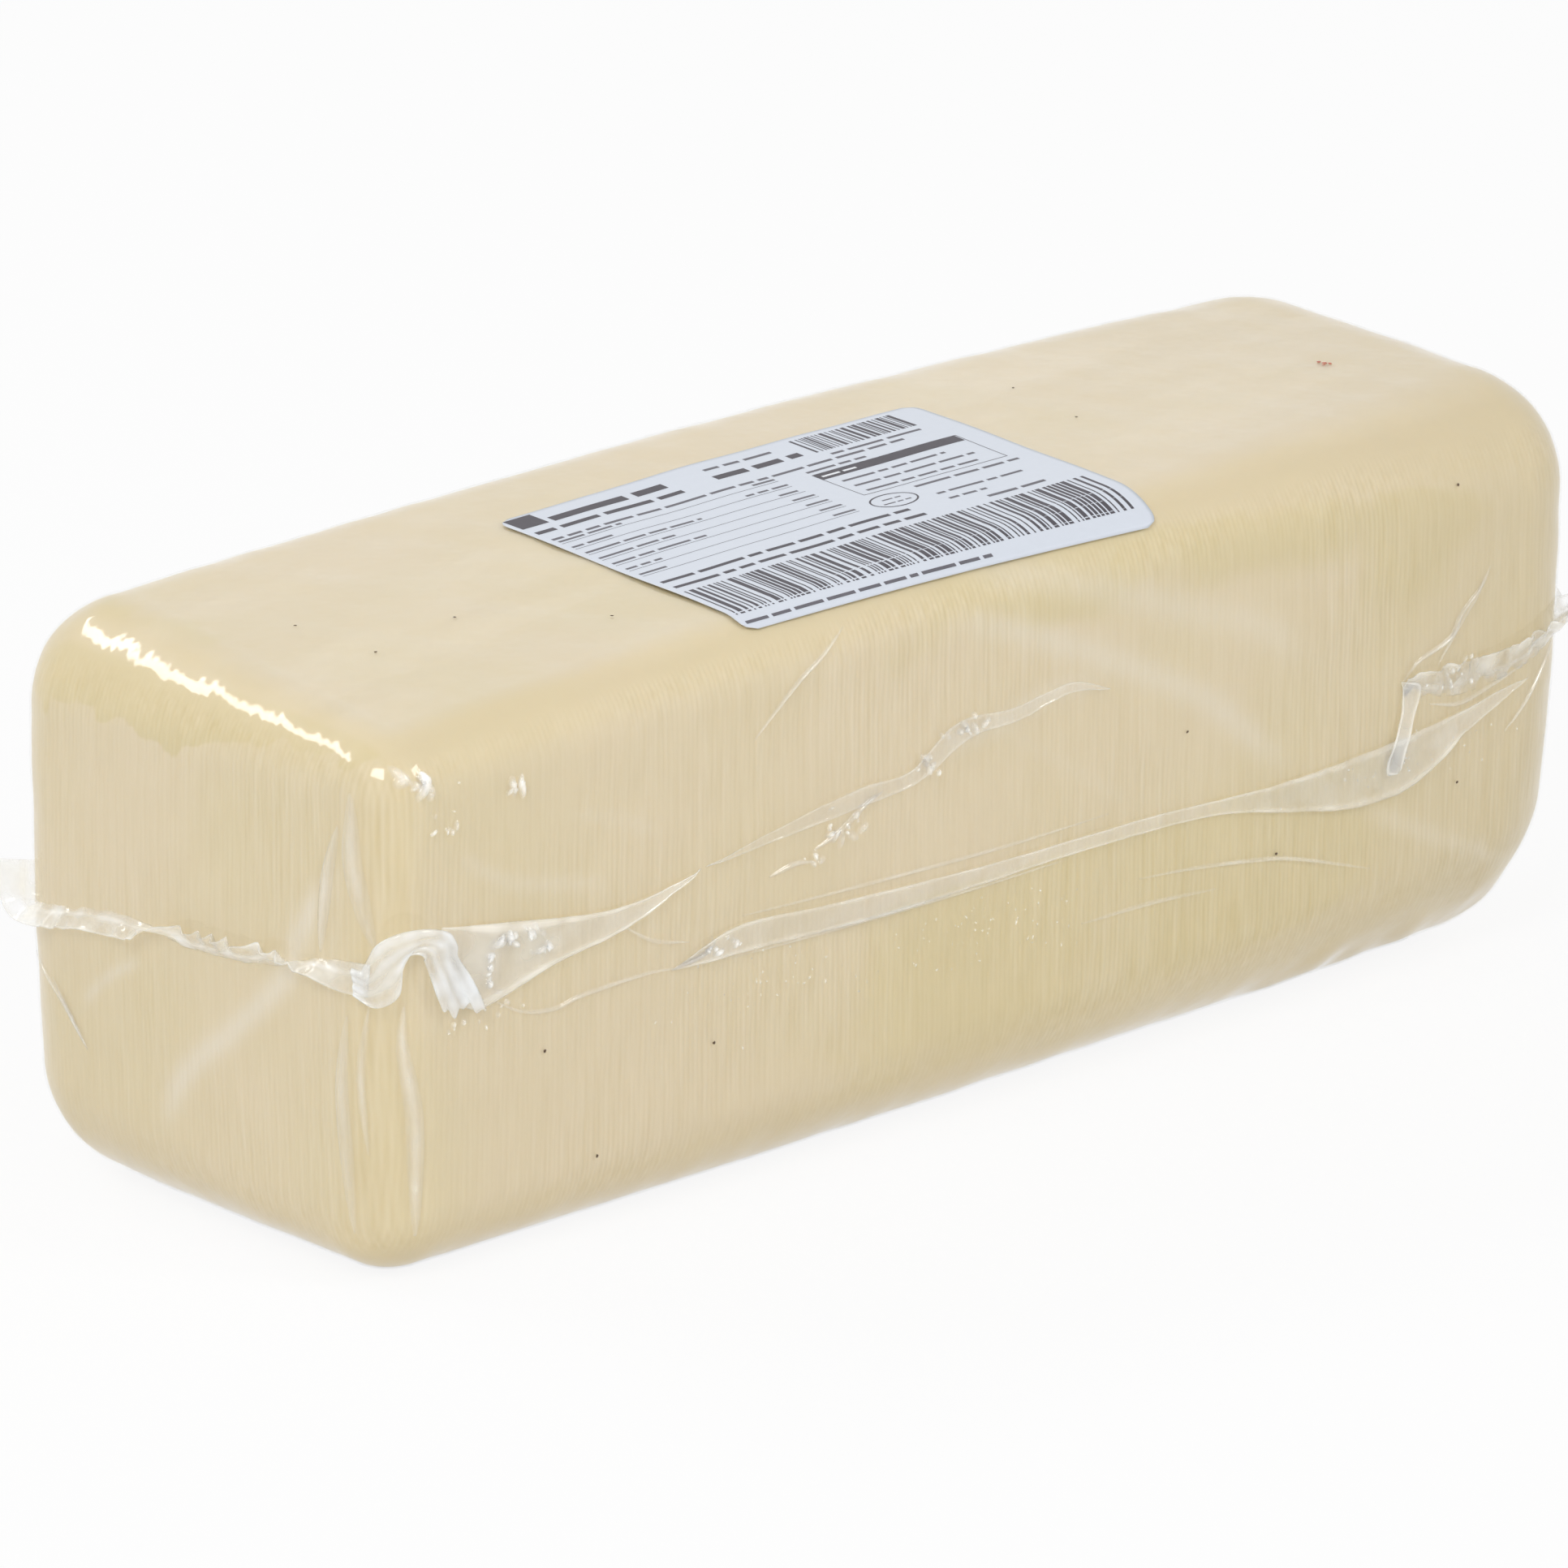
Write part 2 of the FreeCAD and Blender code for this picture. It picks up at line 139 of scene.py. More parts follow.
def march(start, direction, reach=260.0):
    """Where lines from inside the loaf meet its skin."""
    low = np.zeros(start.shape[:-1])
    high = np.full(start.shape[:-1], reach)
    for _ in range(26):
        middle = (low + high) / 2
        inside = skin_distance(start + direction * middle[..., None]) < 0
        low = np.where(inside, middle, low)
        high = np.where(inside, high, middle)
    return start + direction * low[..., None]


def unit(v):
    return v / np.maximum(np.linalg.norm(v, axis=-1, keepdims=True), 1e-9)


def skin_normal(p, step=0.4):
    slopes = []
    for axis in np.eye(3) * step:
        slopes.append(skin_distance(p + axis) - skin_distance(p - axis))
    return unit(np.stack(slopes, axis=-1))


def relief(p):
    """How far the loaf's real surface stands off the even skin."""
    corner = smoothstep(95, 138, p[:, 0]) * smoothstep(42, 12, p[:, 2]) * smoothstep(0, -30, p[:, 1])
    low = smoothstep(14, 4, p[:, 2]) * smoothstep(1.5, 5, p[:, 2])
    uneven = 0.10 * waves(p, 16, 21) + 0.05 * waves(p, 6, 22)
    wavy_foot = 0.4 * low * smoothstep(40, 90, p[:, 0]) * waves(p, 8, 23)
    return (uneven + wavy_foot) * smoothstep(0, 3, p[:, 2]) - 1.25 * corner


def onto_skin(p):
    """The nearest place on the skin, for points that are near it or outside it."""
    p = np.asarray(p, float)
    half = np.array([LENGTH / 2 - CORE_INSET, WIDTH / 2 - CORE_INSET, HEIGHT / 2 - CORE_INSET])
    middle = np.array([0, 0, HEIGHT / 2])
    core = middle + np.clip(p - middle, -half, half)
    return march(core, unit(p - core))


def off_skin(p, distance):
    on = onto_skin(p)
    return on + skin_normal(on) * np.asarray(distance, float)[..., None]


# ---- Noise and curves ----------------------------------------------------------------

def waves(p, size, seed, count=14):
    """Smooth random relief from -1 to 1 or so, with bumps of about that size."""
    dice = np.random.default_rng(seed)
    total = 0.0
    for _ in range(count):
        direction = unit(dice.normal(size=3)) * 2 * math.pi / (size * dice.uniform(1.2, 2.6))
        total = total + np.sin(p @ direction + dice.uniform(0, 2 * math.pi))
    return total / math.sqrt(count / 2) * 0.7


def smooth_path(points, step=0.6):
    """A smooth line through the points, with even steps of about that many mm."""
    points = np.asarray(points, float)
    padded = np.vstack([2 * points[0] - points[1], points, 2 * points[-1] - points[-2]])
    line = []
    for a, b, c, d in zip(padded, padded[1:], padded[2:], padded[3:]):
        t = np.linspace(0, 1, 24, endpoint=False)[:, None]
        line.append(0.5 * (2 * b + (c - a) * t + (2 * a - 5 * b + 4 * c - d) * t ** 2
                           + (3 * b - 3 * c + d - a) * t ** 3))
    line = np.vstack(line + [points[-1:]])
    run = np.r_[0, np.cumsum(np.linalg.norm(np.diff(line, axis=0), axis=1))]
    even = np.linspace(0, run[-1], max(3, int(run[-1] / step) + 1))
    return np.stack([np.interp(even, run, line[:, i]) for i in range(line.shape[1])], axis=1)


def distance_to_path(p, path):
    """Distance from many points to the nearest point of a line, and its share along."""
    best = np.full(len(p), 1e9)
    share = np.zeros(len(p))
    for i, q in enumerate(path):
        d = np.linalg.norm(p - q, axis=1)
        nearer = d < best
        best[nearer] = d[nearer]
        share[nearer] = i / (len(path) - 1)
    return best, share


# ---- Making meshes -------------------------------------------------------------------

def loaf_centre(points):
    return (points.min(axis=0)[:2] + points.max(axis=0)[:2]) / 2


def grid_faces(rows, columns, closed=False):
    """Quads over a grid of points; closed joins the last column to the first."""
    index = np.arange(rows * columns).reshape(rows, columns)
    if closed:
        index = np.hstack([index, index[:, :1]])
    return np.stack([index[:-1, :-1], index[:-1, 1:], index[1:, 1:], index[1:, :-1]],
                    axis=-1).reshape(-1, 4)


def make_piece(name, points, faces, material, replaced=(), attributes=None):
    """A mesh piece from points in mm in the loaf's frame. faces are arrays of indices."""
    faces = faces if isinstance(faces, list) else [faces]
    mesh = bpy.data.meshes.new(name)
    moved = (np.asarray(points) + LOAF_SHIFT) * MM
    mesh.from_pydata([], [], [])
    mesh.vertices.add(len(moved))
    mesh.vertices.foreach_set("co", moved.astype(np.float32).ravel())
    loops = np.concatenate([f.ravel() for f in faces])
    sizes = np.concatenate([np.full(len(f), f.shape[1]) for f in faces])
    mesh.loops.add(len(loops))
    mesh.loops.foreach_set("vertex_index", loops.astype(np.int32))
    mesh.polygons.add(len(sizes))
    mesh.polygons.foreach_set("loop_start", np.r_[0, np.cumsum(sizes)[:-1]].astype(np.int32))
    mesh.update(calc_edges=True)
    mesh.validate()
    mesh.polygons.foreach_set("use_smooth", np.ones(len(mesh.polygons), bool))
    for key, values in (attributes or {}).items():
        layer = mesh.attributes.new(key, "FLOAT", "POINT")
        layer.data.foreach_set("value", np.asarray(values, np.float32))
    mesh.materials.append(material)
    piece = bpy.data.objects.new(name, mesh)
    bpy.context.scene.collection.objects.link(piece)
    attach(piece, "root")
    if replaced:
        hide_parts(*replaced)
    return piece


def box_lattice(counts):
    """Places from -1 to 1 all over a box, and the quads that join them."""
    nx, ny, nz = (c + 1 for c in counts)
    i, j, k = np.meshgrid(np.arange(nx), np.arange(ny), np.arange(nz), indexing="ij")
    shell = ((i == 0) | (i == nx - 1) | (j == 0) | (j == ny - 1) | (k == 0) | (k == nz - 1))
    index = np.full(shell.shape, -1)
    index[shell] = np.arange(shell.sum())
    places = np.stack([i / (nx - 1), j / (ny - 1), k / (nz - 1)], axis=-1)[shell] * 2 - 1
    quads = []
    for axis in range(3):
        for end in (0, -1):
            side = np.take(index, end, axis=axis)
            quad = np.stack([side[:-1, :-1], side[1:, :-1], side[1:, 1:], side[:-1, 1:]], axis=-1)
            outward = (end == 0) == (axis != 1)
            quads.append((quad[..., ::-1] if outward else quad).reshape(-1, 4))
    return places, np.concatenate(quads)


GRID_STEP = 1.22          # spacing of the points of the cheese and of the bag
places, loaf_quads = box_lattice([int(LENGTH / GRID_STEP), int(WIDTH / GRID_STEP),
                                  int(HEIGHT / GRID_STEP)])
loaf_box = np.array([LENGTH / 2 + 2, WIDTH / 2 + 4, HEIGHT / 2 + 4])
skin_points = onto_skin(np.array([0, 0, HEIGHT / 2]) + places * loaf_box)
skin_normals = skin_normal(skin_points)

# The row frame is the loaf's frame moved sideways, so that the CAD loaf and this one meet.
cad_low, cad_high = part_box("bagged_loaf")
cad_middle = (np.array(cad_low) + np.array(cad_high)) / 2 / MM
LOAF_SHIFT = np.r_[cad_middle[:2] - loaf_centre(skin_points), 0]


# ---- Node helpers --------------------------------------------------------------------

class Nodes:
    """A short way to write a material's node tree."""

    def __init__(self, name):
        self.material = bpy.data.materials.new(name)
        self.material.use_nodes = True
        self.tree = self.material.node_tree
        self.tree.nodes.clear()
        self.output = self.tree.nodes.new("ShaderNodeOutputMaterial")

    def add(self, kind, settings=None, **inputs):
        node = self.tree.nodes.new("ShaderNode" + kind)
        for key, value in (settings or {}).items():
            setattr(node, key, value)
        for key, value in inputs.items():
            socket = node.inputs[int(key[1:])] if key[0] == "_" else node.inputs[key.replace("_", " ")]
            self.give(socket, value)
        return node

    def give(self, socket, value):
        if isinstance(value, bpy.types.Node):
            value = value.outputs[0]
        if isinstance(value, bpy.types.NodeSocket):
            self.tree.links.new(value, socket)
        else:
            socket.default_value = value

    def math(self, operation, *values):
        node = self.add("Math", {"operation": operation})
        for socket, value in zip(node.inputs, values):
            self.give(socket, value)
        return node

    def mix(self, share, first, second):
        node = self.add("Mix", {"data_type": "RGBA", "clamp_factor": True})
        self.give(node.inputs[0], share)
        self.give(node.inputs[6], first)
        self.give(node.inputs[7], second)
        return node.outputs[2]

    def span(self, value, low, high, to_low=0.0, to_high=1.0):
        node = self.add("MapRange", {"interpolation_type": "SMOOTHSTEP"})
        for socket, given in zip(node.inputs, (value, low, high, to_low, to_high)):
            self.give(socket, given)
        return node.outputs[0]

    def attribute(self, name):
        return self.add("Attribute", {"attribute_name": name}).outputs["Fac"]

    def noise(self, scale, detail=3.0, roughness=0.5, place=None, **more):
        node = self.add("TexNoise", Scale=scale, Detail=detail, Roughness=roughness, **more)
        if place is not None:
            self.give(node.inputs["Vector"], place)
        return node.outputs[0]

    def place(self, scale=(1, 1, 1)):
        """Object coordinates in metres, stretched."""
        where = self.add("TexCoord").outputs["Object"]
        return self.add("Mapping", _0=where, Scale=scale).outputs[0]

    def finish(self, shader):
        self.give(self.output.inputs[0], shader)
        return self.material


def colour(red, green, blue):
    """A colour as it looks on a screen, 0 to 255, as Blender's linear one."""
    linear = []
    for value in (red, green, blue):
        value = value / 255
        linear.append(value / 12.92 if value <= 0.04045 else ((value + 0.055) / 1.055) ** 2.4)
    return (*linear, 1.0)


# ---- Broad folds of the film ----------------------------------------------------------

# Broad soft arcs where the film was drawn across the front, with how wide, how high and
# how milky each is.
ARCS = [
    ([(-22, -50, 91), (-7, -50, 88), (11, -50, 81), (30, -49, 72), (45, -48, 64),
      (61, -48, 51), (69, -47, 46)], 2.6, 0.30, 0.30),
    ([(-17, -45, 98), (2, -47, 94), (22, -49, 88), (41, -49, 81), (59, -48, 74),
      (72, -47, 63)], 3.2, 0.25, 0.22),
    ([(-22, -50, 69), (-7, -50, 71), (7, -50, 74), (20, -49, 73)], 2.0, 0.25, 0.25),
    ([(-8, -50, 71), (-1, -50, 67), (13, -49, 58), (27, -49, 49)], 1.2, 0.18, 0.08),
    ([(-130, -51, 75), (-122, -51, 69), (-115, -51, 66), (-101, -51, 63), (-95, -51, 61)],
     1.4, 0.20, 0.20),
    ([(-105, -51, 76), (-95, -51, 73), (-83, -51, 68)], 1.2, 0.15, 0.12),
    ([(-146, -43, 74), (-146, -36, 67), (-147, -31, 58), (-147, -28, 51), (-147, -15, 39),
      (-147, -2, 28), (-146, 6, 14)], 2.2, 0.40, 0.42),
    ([(-147, 8, 46), (-146, 17, 41), (-146, 23, 36), (-146, 26, 33)], 1.1, 0.20, 0.30),
    ([(83, -47, 37), (93, -46, 32), (103, -45, 27), (114, -44, 22), (126, -41, 16)],
     1.8, 0.20, 0.18),
]


VEIL = 2.0                # how milky the arcs are, as a multiple of the table
FOLD_RISE = 1.7           # how high the arcs are, as a multiple of the table


def drawn_folds(column):
    """The arcs over the whole skin: their height for column 1, their milkiness for 2."""
    total = np.zeros(len(skin_points))
    for points, width, *amounts in ARCS:
        path = onto_skin(smooth_path(points, 1.0))
        distance, share = distance_to_path(skin_points, path)
        fade = smoothstep(0, 0.18, share) * smoothstep(1, 0.82, share)
        total = total + amounts[column - 1] * fade * np.exp(-(distance / width) ** 2)
    return total


# ---- Cheese --------------------------------------------------------------------------

CHEESE_DEPTH = 0.35       # the cheese lies this far under the outside of the bag
RIB_PITCH = 1.1           # mm from one rib of the mould cloth's print to the next


def cheese_material():
    n = Nodes("cheese_rind")
    place = n.place()
    wet = n.attribute("wet")
    edge = n.attribute("edge")
    side = n.attribute("side")
    # Dry rind is creamy and a little pink; where the film lies wet on it, it is yellower.
    broad = n.noise(14.0, 2.0, 0.55, place)
    fine = n.noise(70.0, 3.0, 0.6, place)
    dry = n.mix(n.span(broad, 0.35, 0.68), colour(231, 214, 179), colour(227, 211, 168))
    damp = n.mix(n.span(fine, 0.3, 0.7), colour(218, 201, 146), colour(225, 208, 156))
    patchy = n.math("ADD", wet, n.math("MULTIPLY", n.math("SUBTRACT", fine, 0.5), 0.55))
    base = n.mix(n.span(patchy, 0.3, 0.75), dry, damp)
    base = n.mix(n.math("MULTIPLY", edge, 0.45), base, colour(230, 210, 156))
    # Painted shade: the rind is darker towards the right end.
    base = n.mix(n.attribute("far"), base, colour(206, 189, 148))
    base = n.mix(n.attribute("veiled"), base, colour(240, 231, 212))
    # Ribs run up the sides: across X on the front and the back, across Y on the ends.
    where = n.add("SeparateXYZ", _0=n.place((1, 1, 1)))
    facing = n.add("SeparateXYZ", _0=n.add("NewGeometry").outputs["Normal"])
    sway = n.math("MULTIPLY", n.math("SUBTRACT", n.noise(45.0, 0.0, 0.5, place), 0.5), 0.0011)
    turns = 2 * math.pi / (RIB_PITCH * MM)
    ribs = None
    for axis, across in ((0, 1), (1, 0)):
        place_along = n.math("ADD", where.outputs[axis], sway)
        rib = n.math("SINE", n.math("MULTIPLY", place_along, turns))
        faced = n.math("ABSOLUTE", facing.outputs[across])
        rib = n.math("MULTIPLY", rib, n.span(faced, 0.25, 0.75))
        ribs = rib if ribs is None else n.math("ADD", ribs, rib)
    streaks = n.noise(1.0, 1.5, 0.6, n.place((900, 900, 60)))
    strength = n.math("MULTIPLY", side, n.span(n.noise(22.0, 1.0, 0.6, place), 0.3, 0.7, 0.35, 1.0))
    ribs = n.math("MULTIPLY", ribs, strength)
    streaky = n.math("MULTIPLY", n.math("SUBTRACT", streaks, 0.5), strength)
    # Painted light and shade: the ribs and streaks also make the colour lighter and darker in stripes.
    painted_rib_shade = n.math("ADD", n.math("MULTIPLY", ribs, 0.12), n.math("MULTIPLY", streaky, 1.4))
    light = n.mix(n.math("ADD", 0.5, painted_rib_shade), colour(205, 186, 142), colour(243, 232, 212))
    base = n.mix(0.36, base, light)
    height = n.math("ADD", n.math("MULTIPLY", ribs, 0.5), n.math("MULTIPLY", streaky, 1.6))
    height = n.math("ADD", height, n.math("MULTIPLY", n.noise(500.0, 1.0, 0.6, place), 0.5))
    bump = n.add("Bump", Strength=0.30, Distance=0.00022, Height=height)
    shader = n.add("BsdfPrincipled", Base_Color=base, Roughness=0.5, Normal=bump,
                   Subsurface_Weight=0.22, Subsurface_Radius=(1.0, 0.62, 0.28),
                   Subsurface_Scale=0.004)
    shader.inputs["Specular IOR Level"].default_value = 0.3
    shader.subsurface_method = "BURLEY"
    return n.finish(shader)


def edge_amount(p):
    """1 on the rounded edges and 0 on the flats."""
    normals = skin_normal(p)
    flat = np.sort(np.abs(normals), axis=1)[:, -1]
    return smoothstep(0.995, 0.90, flat)


def wet_amount(p):
    """Where the film clings wet to the rind."""
    x, y, z = p.T
    edge_wave = 0.9 * waves(p, 9, 5) + 0.9 * waves(p, 3, 6)
    band = 84.5 + 5.5 * smoothstep(-2, -25, y)
    left_top = smoothstep(-138, -143, x) * smoothstep(-1.0, 1.0, z - band + edge_wave)
    top_left = smoothstep(-125, -133, x + 1.5 * edge_wave) * smoothstep(96, 99, z)
    front = smoothstep(-44, -47, y)
    low = front * smoothstep(47.5, 43, z + 0.6 * waves(p, 9, 11)) * smoothstep(-110, 60, x + 22 * waves(p, 30, 8))
    right = smoothstep(50, 130, x + 22 * waves(p, 24, 9)) * 0.9
    right = right * np.maximum(front, 0.8 * smoothstep(128, 142, x) + 0.3 * smoothstep(90, 130, x))
    under_label = front * smoothstep(74, 92, z + 5 * waves(p, 18, 10)) * smoothstep(-80, 0, x) * 0.7
    return np.clip(left_top + 0.6 * top_left + 0.85 * low + right + under_label, 0, 1)


def make_cheese():
    p = skin_points + skin_normals * (relief(skin_points) - CHEESE_DEPTH)[:, None]
    side = smoothstep(0.75, 0.45, np.abs(skin_normals[:, 2]))
    make_piece("cheese", p, loaf_quads, cheese_material(), ["bagged_loaf"],
               {"wet": wet_amount(p), "edge": edge_amount(skin_points), "side": side,
                # painted shade, darker towards the right end
                "far": 0.5 * smoothstep(40, 147, skin_points[:, 0]),
                "veiled": np.clip(VEIL * drawn_folds(2), 0, 0.9)})


# ---- The bag's film ------------------------------------------------------------------

def film_material(name, haziest, roughness, bump, scale, tint=(244, 242, 236)):
    """Clear film: it mirrors at a slant, and haze makes it milky where it is folded."""
    n = Nodes(name)
    place = n.place()
    haze = n.attribute("haze")
    crinkle = n.noise(scale, 2.0, 0.6, place)
    creased = n.add("Bump", Strength=bump, Distance=0.0006, Height=crinkle)
    clear = n.add("BsdfTransparent")
    gloss = n.add("BsdfGlossy", Color=(1, 1, 1, 1), Roughness=roughness, Normal=creased)
    # Schlick's form, as it is the same from both sides of the film.
    facing = n.add("LayerWeight", Blend=0.5, Normal=creased).outputs["Facing"]
    slant = n.math("MULTIPLY_ADD", n.math("POWER", facing, 5.0), 0.96, 0.04)
    film = n.add("MixShader", _0=slant, _1=clear, _2=gloss)
    # Milky film scatters light both back and through.
    back = n.add("BsdfPrincipled", Base_Color=colour(*tint), Roughness=0.3)
    through = n.add("BsdfTranslucent", Color=colour(136, 137, 138))
    milk = n.add("AddShader", _0=back, _1=through)
    mottled = n.math("MULTIPLY", haze, n.span(n.noise(scale * 0.6, 1.0, 0.6, place), 0.3, 0.7, 0.6, 1.2))
    amount = n.math("MINIMUM", mottled, haziest)
    return n.finish(n.add("MixShader", _0=amount, _1=film, _2=milk))


def make_bag():
    """The tight skin of the bag, with the broad soft folds that stand up from it."""
    streaked = waves(skin_points * [0.2, 1, 1], 7, 24)
    haze = 0.07 * np.clip(streaked + 0.3, 0, 1) * smoothstep(0.7, 0.95, skin_normals[:, 2])
    p = skin_points + skin_normals * (relief(skin_points) + FOLD_RISE * drawn_folds(1))[:, None]
    material = film_material("bag_film", 0.9, 0.09, 0.30, 160.0)
    make_piece("bag", p, loaf_quads, material, (), {"haze": haze})


# ---- Sheets of film ------------------------------------------------------------------

def sheet_solid(grid, thickness):
    """Both sides and the rim of a sheet around a grid of points."""
    rows, columns = grid.shape[:2]
    down = np.gradient(grid, axis=0)
    across = np.gradient(grid, axis=1)
    normal = unit(np.cross(down, across))
    upper = (grid + normal * thickness / 2).reshape(-1, 3)
    lower = (grid - normal * thickness / 2).reshape(-1, 3)
    top = grid_faces(rows, columns)
    index = np.arange(rows * columns).reshape(rows, columns)
    rim = np.concatenate([index[0, :-1], index[:-1, -1], index[-1, :0:-1], index[:0:-1, 0]])
    after = np.roll(rim, -1)
    below = rows * columns
    wall = np.stack([rim, rim + below, after + below, after], axis=1)
    return np.vstack([upper, lower]), np.vstack([top, top[:, ::-1] + below, wall])


def between(upper, lower, rows, columns):
    """Points between two lines with the same two tips, evenly spaced."""
    first = smooth_path(upper, 0.5)
    second = smooth_path(lower, 0.5)
    t = np.linspace(0, 1, rows)
    a = np.stack([np.interp(t, np.linspace(0, 1, len(first)), first[:, i]) for i in (0, 1)], 1)
    b = np.stack([np.interp(t, np.linspace(0, 1, len(second)), second[:, i]) for i in (0, 1)], 1)
    share = np.linspace(0, 1, columns)[None, :, None]
    return a[:, None] * (1 - share) + b[:, None] * share


def on_front(xz):
    """Places on the front of the skin for X and Z."""
    p = np.stack([xz[..., 0], np.zeros(xz.shape[:-1]), xz[..., 1]], axis=-1)
    out = np.broadcast_to(np.array([0, -1.0, 0]), p.shape)
    return march(p, out)


FOLDS = {
    "corner_flap_left": (
        [(-133.0, 62.4), (-120.0, 60.6), (-100.0, 57.9), (-88.0, 58.1), (-75.5, 60.3)],
        [(-133.0, 62.4), (-131.0, 52.0), (-125.0, 46.8), (-108.0, 51.0), (-92.0, 53.8),
         (-75.5, 60.3)], 0.22),
    "pleat_upper": (
        [(-74.5, 60.4), (-58.0, 63.9), (-40.0, 66.8), (-28.0, 67.4), (-17.0, 73.6),
         (-4.0, 73.4), (10.0, 75.0), (20.0, 71.7)],
        [(-74.5, 60.4), (-58.0, 61.8), (-40.0, 63.4), (-26.0, 65.0), (-14.0, 70.2),
         (-2.0, 71.0), (10.0, 73.2), (20.0, 71.7)], 0.06),
    "pleat_lower": (
        [(-82.0, 43.8), (-68.0, 48.6), (-45.0, 47.8), (-10.0, 46.8), (30.0, 46.8),
         (62.0, 45.8), (88.0, 47.0), (106.0, 48.8), (118.0, 50.8), (126.0, 51.4)],
        [(-82.0, 43.8), (-60.0, 43.6), (-30.0, 43.0), (10.0, 44.2), (45.0, 43.6),
         (66.0, 39.8), (82.0, 37.2), (97.0, 38.4), (110.0, 45.2), (126.0, 51.4)], 0.12),
    "corner_flap_right": (
        [(92.6, 57.6), (97.4, 56.0), (95.8, 50.6), (92.6, 41.0)],
        [(92.6, 57.6), (92.6, 53.2), (91.4, 48.6), (89.0, 42.0), (92.6, 41.0)], 0.24),
}


def make_fold(name, upper, lower, milk, material):
    """Film folded double: it lies on the bag and its two folded edges stand up."""
    length = len(smooth_path(upper, 0.5)) * 0.5
    rows = int(length / 0.45)
    columns = 22
    spread = between(upper, lower, rows, columns)
    on = on_front(spread)
    across = np.linspace(-1, 1, columns)[None, :]
    lip = np.exp(-((np.abs(across) - 0.86) / 0.12) ** 2) * np.ones((rows, 1))
    tip = smoothstep(0, 0.04, np.linspace(0, 1, rows)) * smoothstep(1, 0.96, np.linspace(0, 1, rows))
    flat = on.reshape(-1, 3)
    crumple = (np.abs(waves(flat, 7, len(name))) * 0.35 + 0.12 * waves(flat, 2.6, 40)).reshape(rows, columns)
    height = (0.32 + 0.20 * lip + 0.45 * crumple) * tip[:, None] + 0.12
    p = on + skin_normal(flat).reshape(on.shape) * height[..., None]
    points, quads = sheet_solid(p, 0.12)
    haze = milk * (0.8 + 1.2 * lip) + 0.30 * np.clip(crumple, 0, 1) * (0.2 + milk)
    make_piece(name + "_film", points, quads, material, [name],
               {"haze": np.tile(haze.ravel(), 2)})


def ridge_strip(path, width, height):
    """A soft raised crease along a line on the skin, and how much of its height each
    point has."""
    rows = len(path)
    normal = skin_normal(path)
    beside = np.cross(normal, unit(np.gradient(path, axis=0)))
    taper = np.sin(np.pi * np.linspace(0.01, 0.99, rows)) ** 0.6
    across = np.linspace(-1, 1, 9)[None, :]
    share = np.cos(np.pi / 2 * across) ** 2 * taper[:, None]
    lift = 0.14 + height * share
    reach = across * (width / 2 * taper)[:, None]
    return path[:, None] + beside[:, None] * reach[..., None] + normal[:, None] * lift[..., None], share


# Fine creases: a line on the skin, then how wide and how high it is.
CREASES = [
    ([(-121, -51, 47), (-115, -51, 44), (-108, -51, 43), (-102, -51, 44), (-88, -51, 44.6),
      (-80, -51, 44)], 1.0, 0.35),
    ([(-82, -51, 44), (-75, -51, 45), (-72.5, -51, 46.4), (-73, -51, 48)], 1.0, 0.40),
    ([(-93, -51, 54), (-86, -51, 50), (-78, -51, 48)], 0.8, 0.25),
    ([(-42, -48, 94), (-48, -50, 91), (-54, -51, 88), (-64, -51, 80)], 1.1, 0.45),
    ([(28, -49, 36), (41, -48, 35), (57, -47, 33), (67, -47, 31), (86, -46, 25)], 0.9, 0.28),
    ([(14, -49, 31), (31, -48, 31), (47, -48, 30)], 0.9, 0.20),
    ([(-70, -51, 43.2), (-51, -50, 43), (-18, -50, 43), (10, -49, 43.4)], 0.8, 0.30),
    ([(-66, -51, 50), (-40, -50, 49.4), (-5, -49, 49), (20, -49, 49.4)], 0.8, 0.25),
    ([(115, -46, 74), (113, -46, 71), (108, -46, 67), (105, -46, 63), (97, -46, 60.4),
      (93, -46.5, 57.4)], 1.3, 0.50),
    ([(114, -46, 73), (112, -46, 69.5), (109, -46, 66.5), (104, -46, 61), (102, -46, 58.5)],
     1.0, 0.35),
    ([(100, -46, 52), (108, -46, 50.5), (116, -45, 52), (124, -45, 54)], 1.0, 0.35),
    ([(135, -41, 57), (130, -43.5, 52), (124, -45, 46), (120, -45, 42.7)], 1.1, 0.40),
    ([(-145.3, -43.5, 86), (-145.5, -43.8, 82), (-145.5, -44.1, 74), (-144.4, -46.3, 64),
      (-143.5, -47.3, 60)], 3.6, 0.42),
    ([(-145.9, -41.0, 80), (-146.3, -38.5, 70), (-146.3, -37.0, 58)], 2.8, 0.30),
    ([(-140, -50, 50), (-140, -49.6, 43), (-138, -50, 31), (-137.7, -50, 20), (-137, -49, 9)],
     3.2, 0.50),
    ([(-143.7, 39.4, 39.5), (-145.9, 31.8, 34.8), (-146, 23.6, 26.3)], 1.0, 0.40),
    ([(-145.8, 32.6, 36.9), (-146, 28.3, 31.5), (-146, 23.6, 26.3)], 0.9, 0.30),
    ([(-145, -42, 48), (-145.5, -41, 36), (-145.5, -42, 22), (-144, -42, 10)], 2.6, 0.34),
    ([(-143, -45, 50), (-144, -44, 38), (-143.5, -45, 24)], 1.6, 0.30),
    ([(-50, -51, 58), (-44, -51, 60), (-38, -51, 63.5), (-34, -51, 65)], 1.4, 0.45),
    ([(-60, -51, 55.5), (-54, -51, 56.6), (-50, -51, 56)], 1.2, 0.40),
]


